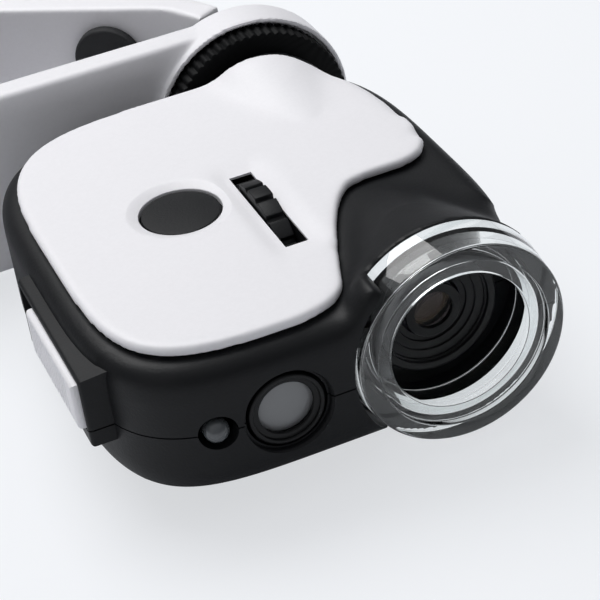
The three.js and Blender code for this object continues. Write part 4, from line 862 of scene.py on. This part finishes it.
def makeLockRing():
    steps = lockRing["teeth"] * lockRing["stepsPerTooth"]
    points = []
    for step in range(steps):
        turn = 2 * math.pi * step / steps
        dip = abs(math.sin(turn * lockRing["teeth"] / 2)) ** 3
        radius = lockRing["radius"] - lockRing["depth"] * dip
        points.append((radius * math.cos(turn), radius * math.sin(turn)))
    piece = prism(points, lockRing["front"], lockRing["back"], "Y")
    roundEdges(piece, lockRing["edge"], 2, lambda a, b: abs(a.y - b.y) < 0.01)
    front, lip = lockRing["front"], lockRing["front"] + lockRing["lip"]
    combine("DIFFERENCE", piece, turned([(0, front - past), (lockRing["lipInner"] + past, front - past),
                                         (lockRing["lipInner"], front + 0.3, 0.1), (lockRing["lipInner"], lip),
                                         (lockRing["inner"], lip), (lockRing["inner"], lockRing["back"] + past),
                                         (0, lockRing["back"] + past)], 96))
    return putInPlace(piece, "knurled_ring", "lock_ring", blackRubber, ["lock_ring"])


makeLockRing()

# Phone clip: a front jaw round the eyepiece, a sprung rear jaw, their pin, spring and pads
clip = dict(front=69.4, thickness=4.6, disc=15.1, skirt=67.7, half=14, wall=2, edge=0.9, handleEnd=-83, handleTaper=-66,
            collarInner=9.6, collarOuter=11, collarFront=66.6, slot=1.2, grid=0.36)
clipBack = clip["front"] + clip["thickness"]
padRing = dict(inner=10.7, outer=14, proud=0.8, recess=0.6)
hinge = dict(x=-57, rise=11, pin=1.8, head=2.6, headHeight=0.8, ear=4.4, earThickness=2.3, earTop=10.6)
pinY = clipBack + hinge["rise"]
outerEar = hinge["earTop"] - hinge["earThickness"]
rearShape = dict(tipX=-4, tipGap=0.4, hookRise=6.1, hookRun=3.2, slopeRun=26.6, slopeRise=18.5, crownRun=9, waistRise=5.4,
                 waistBefore=3, waistAfter=5, endRise=9, endX=-84, endRound=7, flange=4.4, wall=2, half=14, hookBend=2.2, crownBend=4,
                 waistBend=4.5)


def armOutline(inset, start):
    high, end = clip["half"] - inset, clip["handleEnd"] + inset
    upper = curve((clip["handleTaper"], high), (end, high), (end, 0), 24)
    lower = [Vector((point.x, -point.y)) for point in reversed(upper[:-1])]
    return [(start, high), *upper, *lower, (start, -high)]


def earForm(low, reach, sign):
    turns = [math.pi * step / 24 * sign for step in range(25)]
    points = [(hinge["x"] + hinge["ear"] * math.cos(turn), pinY + hinge["ear"] * math.sin(turn)) for turn in turns]
    points += [(hinge["x"] - hinge["ear"], reach), (hinge["x"] + hinge["ear"], reach)]
    return prism(points, low, low + hinge["earThickness"])


def pinHole():
    return rod(hinge["pin"] + fit, -hinge["earTop"] - past, hinge["earTop"] + past, (hinge["x"], pinY, 0), "Z", 48)


def makeFrontJaw():
    front, edge = clip["front"], clip["edge"]
    jaw = prism(armOutline(0, 0), front, clipBack, "Y")
    roundEdges(jaw, edge, 4, lambda a, b: abs(a.y - b.y) < 0.01)
    channel = combine("DIFFERENCE", prism(armOutline(clip["wall"], -clip["disc"] - clip["wall"]), front + clip["wall"],
                                          clipBack + past, "Y"),
                      rod(clip["disc"] + clip["wall"], front, clipBack + past + 1))
    disc = turned([(0, front), (clip["disc"], front, edge), (clip["disc"], clipBack, edge), (0, clipBack)], 160)
    combine("UNION", jaw, disc)
    combine("DIFFERENCE", jaw, channel)
    # a thin skirt round the back of the lock ring
    inside = lockRing["radius"] + fit
    combine("UNION", jaw, turned([(inside, clip["skirt"], 0.1), (clip["disc"], clip["skirt"], 0.3),
                                  (clip["disc"], front + 1.5), (inside, front + 1.5)], 160),
            turned([(0, clip["collarFront"]), (clip["collarOuter"], clip["collarFront"], 0.4),
                                  (clip["collarOuter"], front + 1), (0, front + 1)], 128),
            earForm(outerEar, front + 1, 1), earForm(-hinge["earTop"], front + 1, 1))
    slits = [block(-14, 14, clip["collarFront"] - past, front - fit, -clip["slot"] / 2, clip["slot"] / 2),
             block(-clip["slot"] / 2, clip["slot"] / 2, clip["collarFront"] - past, front - fit, -14, 14)]
    groove = ringOf(padRing["inner"] - fit, padRing["outer"] + fit, clipBack - padRing["recess"], clipBack + past, 0)
    combine("DIFFERENCE", jaw, rod(clip["collarInner"], clip["collarFront"] - past, clipBack + past, steps=128), *slits,
            pinHole(), groove)
    useModifier(jaw, "REMESH", mode="VOXEL", voxel_size=clip["grid"])
    relax(jaw, lambda co: True, 2)
    return putInPlace(jaw, "clip_front", "front_jaw", whiteAbs, ["front_jaw"])


def rearLine():
    # the jaw's phone side, seen from above, corner by corner
    waistY = pinY + rearShape["waistRise"]
    hook = Vector((rearShape["tipX"] - rearShape["hookRun"],
                   clipBack + padRing["proud"] + rearShape["tipGap"] + rearShape["hookRise"]))
    crown = hook + Vector((-rearShape["slopeRun"], rearShape["slopeRise"]))
    corners = [(Vector((rearShape["tipX"], hook.y - rearShape["hookRise"])), 0), (hook, rearShape["hookBend"]),
               (crown, rearShape["crownBend"]), (crown - Vector((rearShape["crownRun"], 0)), rearShape["crownBend"]),
               (Vector((hinge["x"] + rearShape["waistBefore"], waistY)), rearShape["waistBend"]),
               (Vector((hinge["x"] - rearShape["waistAfter"], waistY)), rearShape["waistBend"] / 2),
               (Vector((rearShape["endX"], waistY + rearShape["endRise"])), 0)]
    points = [corners[0][0]]
    for (before, _), (corner, trim), (after, _) in zip(corners, corners[1:], corners[2:]):
        points += curve(corner + (before - corner).normalized() * trim, corner,
                        corner + (after - corner).normalized() * trim, 10)
    points.append(corners[-1][0])
    ways = [(points[min(place + 1, len(points) - 1)] - points[max(place - 1, 0)]).normalized()
            for place in range(len(points))]
    return points, [Vector((way.y, -way.x)) for way in ways], hook, crown, waistY


linePoints, lineNormals, hook, crown, waistY = rearLine()


def ribbon(thickness, low, high):
    outer = [point + normal * thickness for point, normal in zip(linePoints, lineNormals)]
    return prism(list(reversed(linePoints)) + outer, low, high)


def makeRearJaw():
    half, wall = rearShape["half"], rearShape["wall"]
    jaw = ribbon(wall, -half, half)
    inner = outerEar - fit
    combine("UNION", jaw, ribbon(rearShape["flange"], half - wall, half), ribbon(rearShape["flange"], -half, wall - half),
            earForm(inner - hinge["earThickness"], waistY + wall / 2, -1), earForm(-inner, waistY + wall / 2, -1))
    combine("DIFFERENCE", jaw, pinHole())
    # the handle's two corners are rounded off like those of the front jaw
    side, end, round = half + 0.2, rearShape["endX"] - 1.5, rearShape["endRound"]
    corner = curve((end + round, side), (end, side), (end, side - round), 12)
    outline = [Vector((hinge["x"] - end, -side)), Vector((hinge["x"] - end, side))] + corner
    outline += [Vector((point.x, -point.y)) for point in reversed(corner)]
    combine("INTERSECT", jaw, prism(outline, clip["front"], crown.y + 20, "Y"))
    useModifier(jaw, "REMESH", mode="VOXEL", voxel_size=clip["grid"])
    relax(jaw, lambda co: True, 3)
    return putInPlace(jaw, "clip_rear", "rear_jaw", whiteAbs, ["rear_jaw"])


makeFrontJaw()
makeRearJaw()
print("clip jaws are made")

rearPad = dict(length=10.4, height=22.6, thickness=1.4, fromHook=4.6, edge=0.45)
padEnd = rearPad["length"] / 2
arc = [math.pi * step / 24 for step in range(25)]
outline = [(padEnd + padEnd * math.cos(turn), side * (rearPad["height"] / 2 - padEnd) + padEnd * side * math.sin(turn))
           for side in (1, -1) for turn in (arc if side > 0 else reversed(arc))]
piece = prism([(rearPad["fromHook"] + u, v) for u, v in outline], fit, fit + rearPad["thickness"], "Y")
roundEdges(piece, rearPad["edge"], 4, lambda a, b: min(a.y, b.y) > fit + rearPad["thickness"] - 0.01)
piece.rotation_euler = (0, 0, math.atan2(rearShape["slopeRise"], -rearShape["slopeRun"]))
piece.location = (hook.x, hook.y, 0)
only(piece)
bpy.ops.object.transform_apply(location=True, rotation=True)
putInPlace(piece, "pad_rear", "rear_jaw", padRubber, ["rear_pad"])
piece = turned([(padRing["inner"], clipBack - padRing["recess"] + fit), (padRing["outer"], clipBack - padRing["recess"] + fit),
                (padRing["outer"], clipBack + padRing["proud"], 0.35), (padRing["inner"], clipBack + padRing["proud"], 0.35)],
               128)
putInPlace(piece, "pad_front", "front_jaw", blackRubber, ["front_pad"])

piece = turned([(0, -hinge["earTop"] - fit), (hinge["pin"], -hinge["earTop"] - fit, 0.3), (hinge["pin"], hinge["earTop"] + fit),
                (hinge["head"], hinge["earTop"] + fit, 0.1), (hinge["head"], hinge["earTop"] + fit + hinge["headHeight"], 0.4),
                (0, hinge["earTop"] + fit + hinge["headHeight"])], 64, (hinge["x"], pinY, 0), "Z")
putInPlace(piece, "clip_pin", "front_jaw", nickelSteel, ["hinge_pin"])

# Torsion spring round the pin: one wire, its lower leg in the front jaw and its upper leg in the rear jaw
spring = dict(wire=1.1, radius=3.2, curls=4, pitch=1.9, frontLeg=-48.6, frontLength=15.2, rearLeg=80.2, rearLength=9,
              steps=40)
start, finish = math.radians(spring["frontLeg"]), math.radians(spring["rearLeg"] + 360 * spring["curls"])
turns = (finish - start) / (2 * math.pi)
rise = turns * spring["pitch"]


def springPoint(turn, z, outward=0.0):
    return Vector((hinge["x"] + spring["radius"] * math.cos(turn) + outward * math.sin(turn),
                   pinY + spring["radius"] * math.sin(turn) - outward * math.cos(turn), z))


steps = round(turns * spring["steps"])
line = [springPoint(start, -rise / 2, spring["frontLength"])]
line += [springPoint(start + (finish - start) * step / steps, rise * (step / steps - 0.5)) for step in range(steps + 1)]
line += [springPoint(finish, rise / 2, -spring["rearLength"])]
bpy.ops.curve.primitive_bezier_curve_add()
piece = bpy.context.object
piece.data.splines.clear()
wire = piece.data.splines.new("POLY")
wire.points.add(len(line) - 1)
for spot, point in zip(wire.points, line):
    spot.co = (*point, 1)
piece.data.bevel_depth = spring["wire"] / 2
piece.data.bevel_resolution = 3
piece.data.use_fill_caps = True
only(piece)
bpy.ops.object.convert(target="MESH")
piece = putInPlace(bpy.context.object, "clip_spring", "front_jaw", nickelSteel, ["torsion_spring"], 60)
piece.parent = None
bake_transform(piece)
print("pads, pin and spring are made")

# Case screws: one is modelled and copied to its four places
piece = turned([(0, screwLow), (screw["head"], screwLow, 0.3), (screw["head"], screwNeck), (screw["shank"], screwNeck),
                (screw["shank"], screwTip - screw["shank"]), (0, screwTip)], 48, along="Z")
long, wideCut = screw["crossLength"] / 2, screw["crossWidth"] / 2
combine("DIFFERENCE", piece, block(-long, long, -wideCut, wideCut, screwLow - past, screwLow + screw["crossDepth"]),
        block(-wideCut, wideCut, -long, long, screwLow - past, screwLow + screw["crossDepth"]))
for number, (x, y) in enumerate(screwPlaces, 1):
    copied = piece.copy()
    copied.data = piece.data.copy()
    bpy.context.collection.objects.link(copied)
    copied.location = (x, y, 0)
    only(copied)
    bpy.ops.object.transform_apply(location=True)
    putInPlace(copied, f"screw_{number}", "housing", nickelSteel, [f"case_screw_{number}"])
bpy.data.objects.remove(piece)

# Battery door: a plate that sits flush in the floor, with three finger grooves
piece = block(*grown(bay, battery["ledge"] - fit), case["bottom"], case["bottom"] + battery["skin"])
roundEdges(piece, 1.2, 4, lambda a, b: abs(a.z - b.z) > 0.5)
roundEdges(piece, 0.2, 2, lambda a, b: max(a.z, b.z) < case["bottom"] + 0.01)
combine("UNION", piece, block(*grown(bay, -fit), case["bottom"] + battery["skin"] / 2,
                              case["bottom"] + battery["skin"] + battery["lip"]))
for grip in range(battery["grips"]):
    y = bay[3] - battery["gripPitch"] * (grip + 1)
    combine("DIFFERENCE", piece, rod(0.55, battery["x"] - battery["gripWidth"] / 2, battery["x"] + battery["gripWidth"] / 2,
                                     (0, y, case["bottom"] + 0.1), "X", 24))
putInPlace(piece, "battery_cover", "battery_door", blackAbs, ["battery_door"])
print("screws and battery door are made")

nodeFinishes = {
    "guide_tube": blackAbs, "focus_rack": blackAbs, "circuit_board": boardLaminate, "switch_can": nickelSteel,
    "button_cell_1": nickelSteel, "button_cell_2": nickelSteel, "button_cell_3": nickelSteel,
    "contact_front": nickelSteel, "contact_rear": nickelSteel, "wheel_axle": nickelSteel,
    "lower_shell": blackAbs, "upper_shell": blackAbs, "cover_plate": whiteAbs, "clear_cup": clearAcrylic,
    "front_jaw": whiteAbs, "rear_jaw": whiteAbs, "lock_ring": blackRubber, "slide_switch": blackAbs,
    "battery_door": blackAbs, "rear_pad": padRubber, "front_pad": blackRubber, "objective_barrel": glossBlackAbs,
    "focus_wheel": blackAbs, "torsion_spring": nickelSteel, "hinge_pin": nickelSteel,
    "torch_lens": lensGlass, "uv_led": ledEpoxy, "torch_sleeve": glossBlackAbs, "torch_bulb": ledEpoxy,
    "objective_lens": lensGlass, "objective_ring": turnedBrass, "relay_lens": lensGlass, "relay_ring": blackAbs,
    "field_lens": lensGlass, "eye_lens": lensGlass, "eye_lens_ring": glossBlackAbs, "eyepiece_tube": glossBlackAbs,
    "specimen_led": ledEpoxy, "focus_pinion": blackAbs,
    "case_screw_1": nickelSteel, "case_screw_2": nickelSteel, "case_screw_3": nickelSteel, "case_screw_4": nickelSteel,
}
for node, finish in nodeFinishes.items():
    for place in range(len(frame["nodes"][node].data.materials)):
        frame["nodes"][node].data.materials[place] = finish
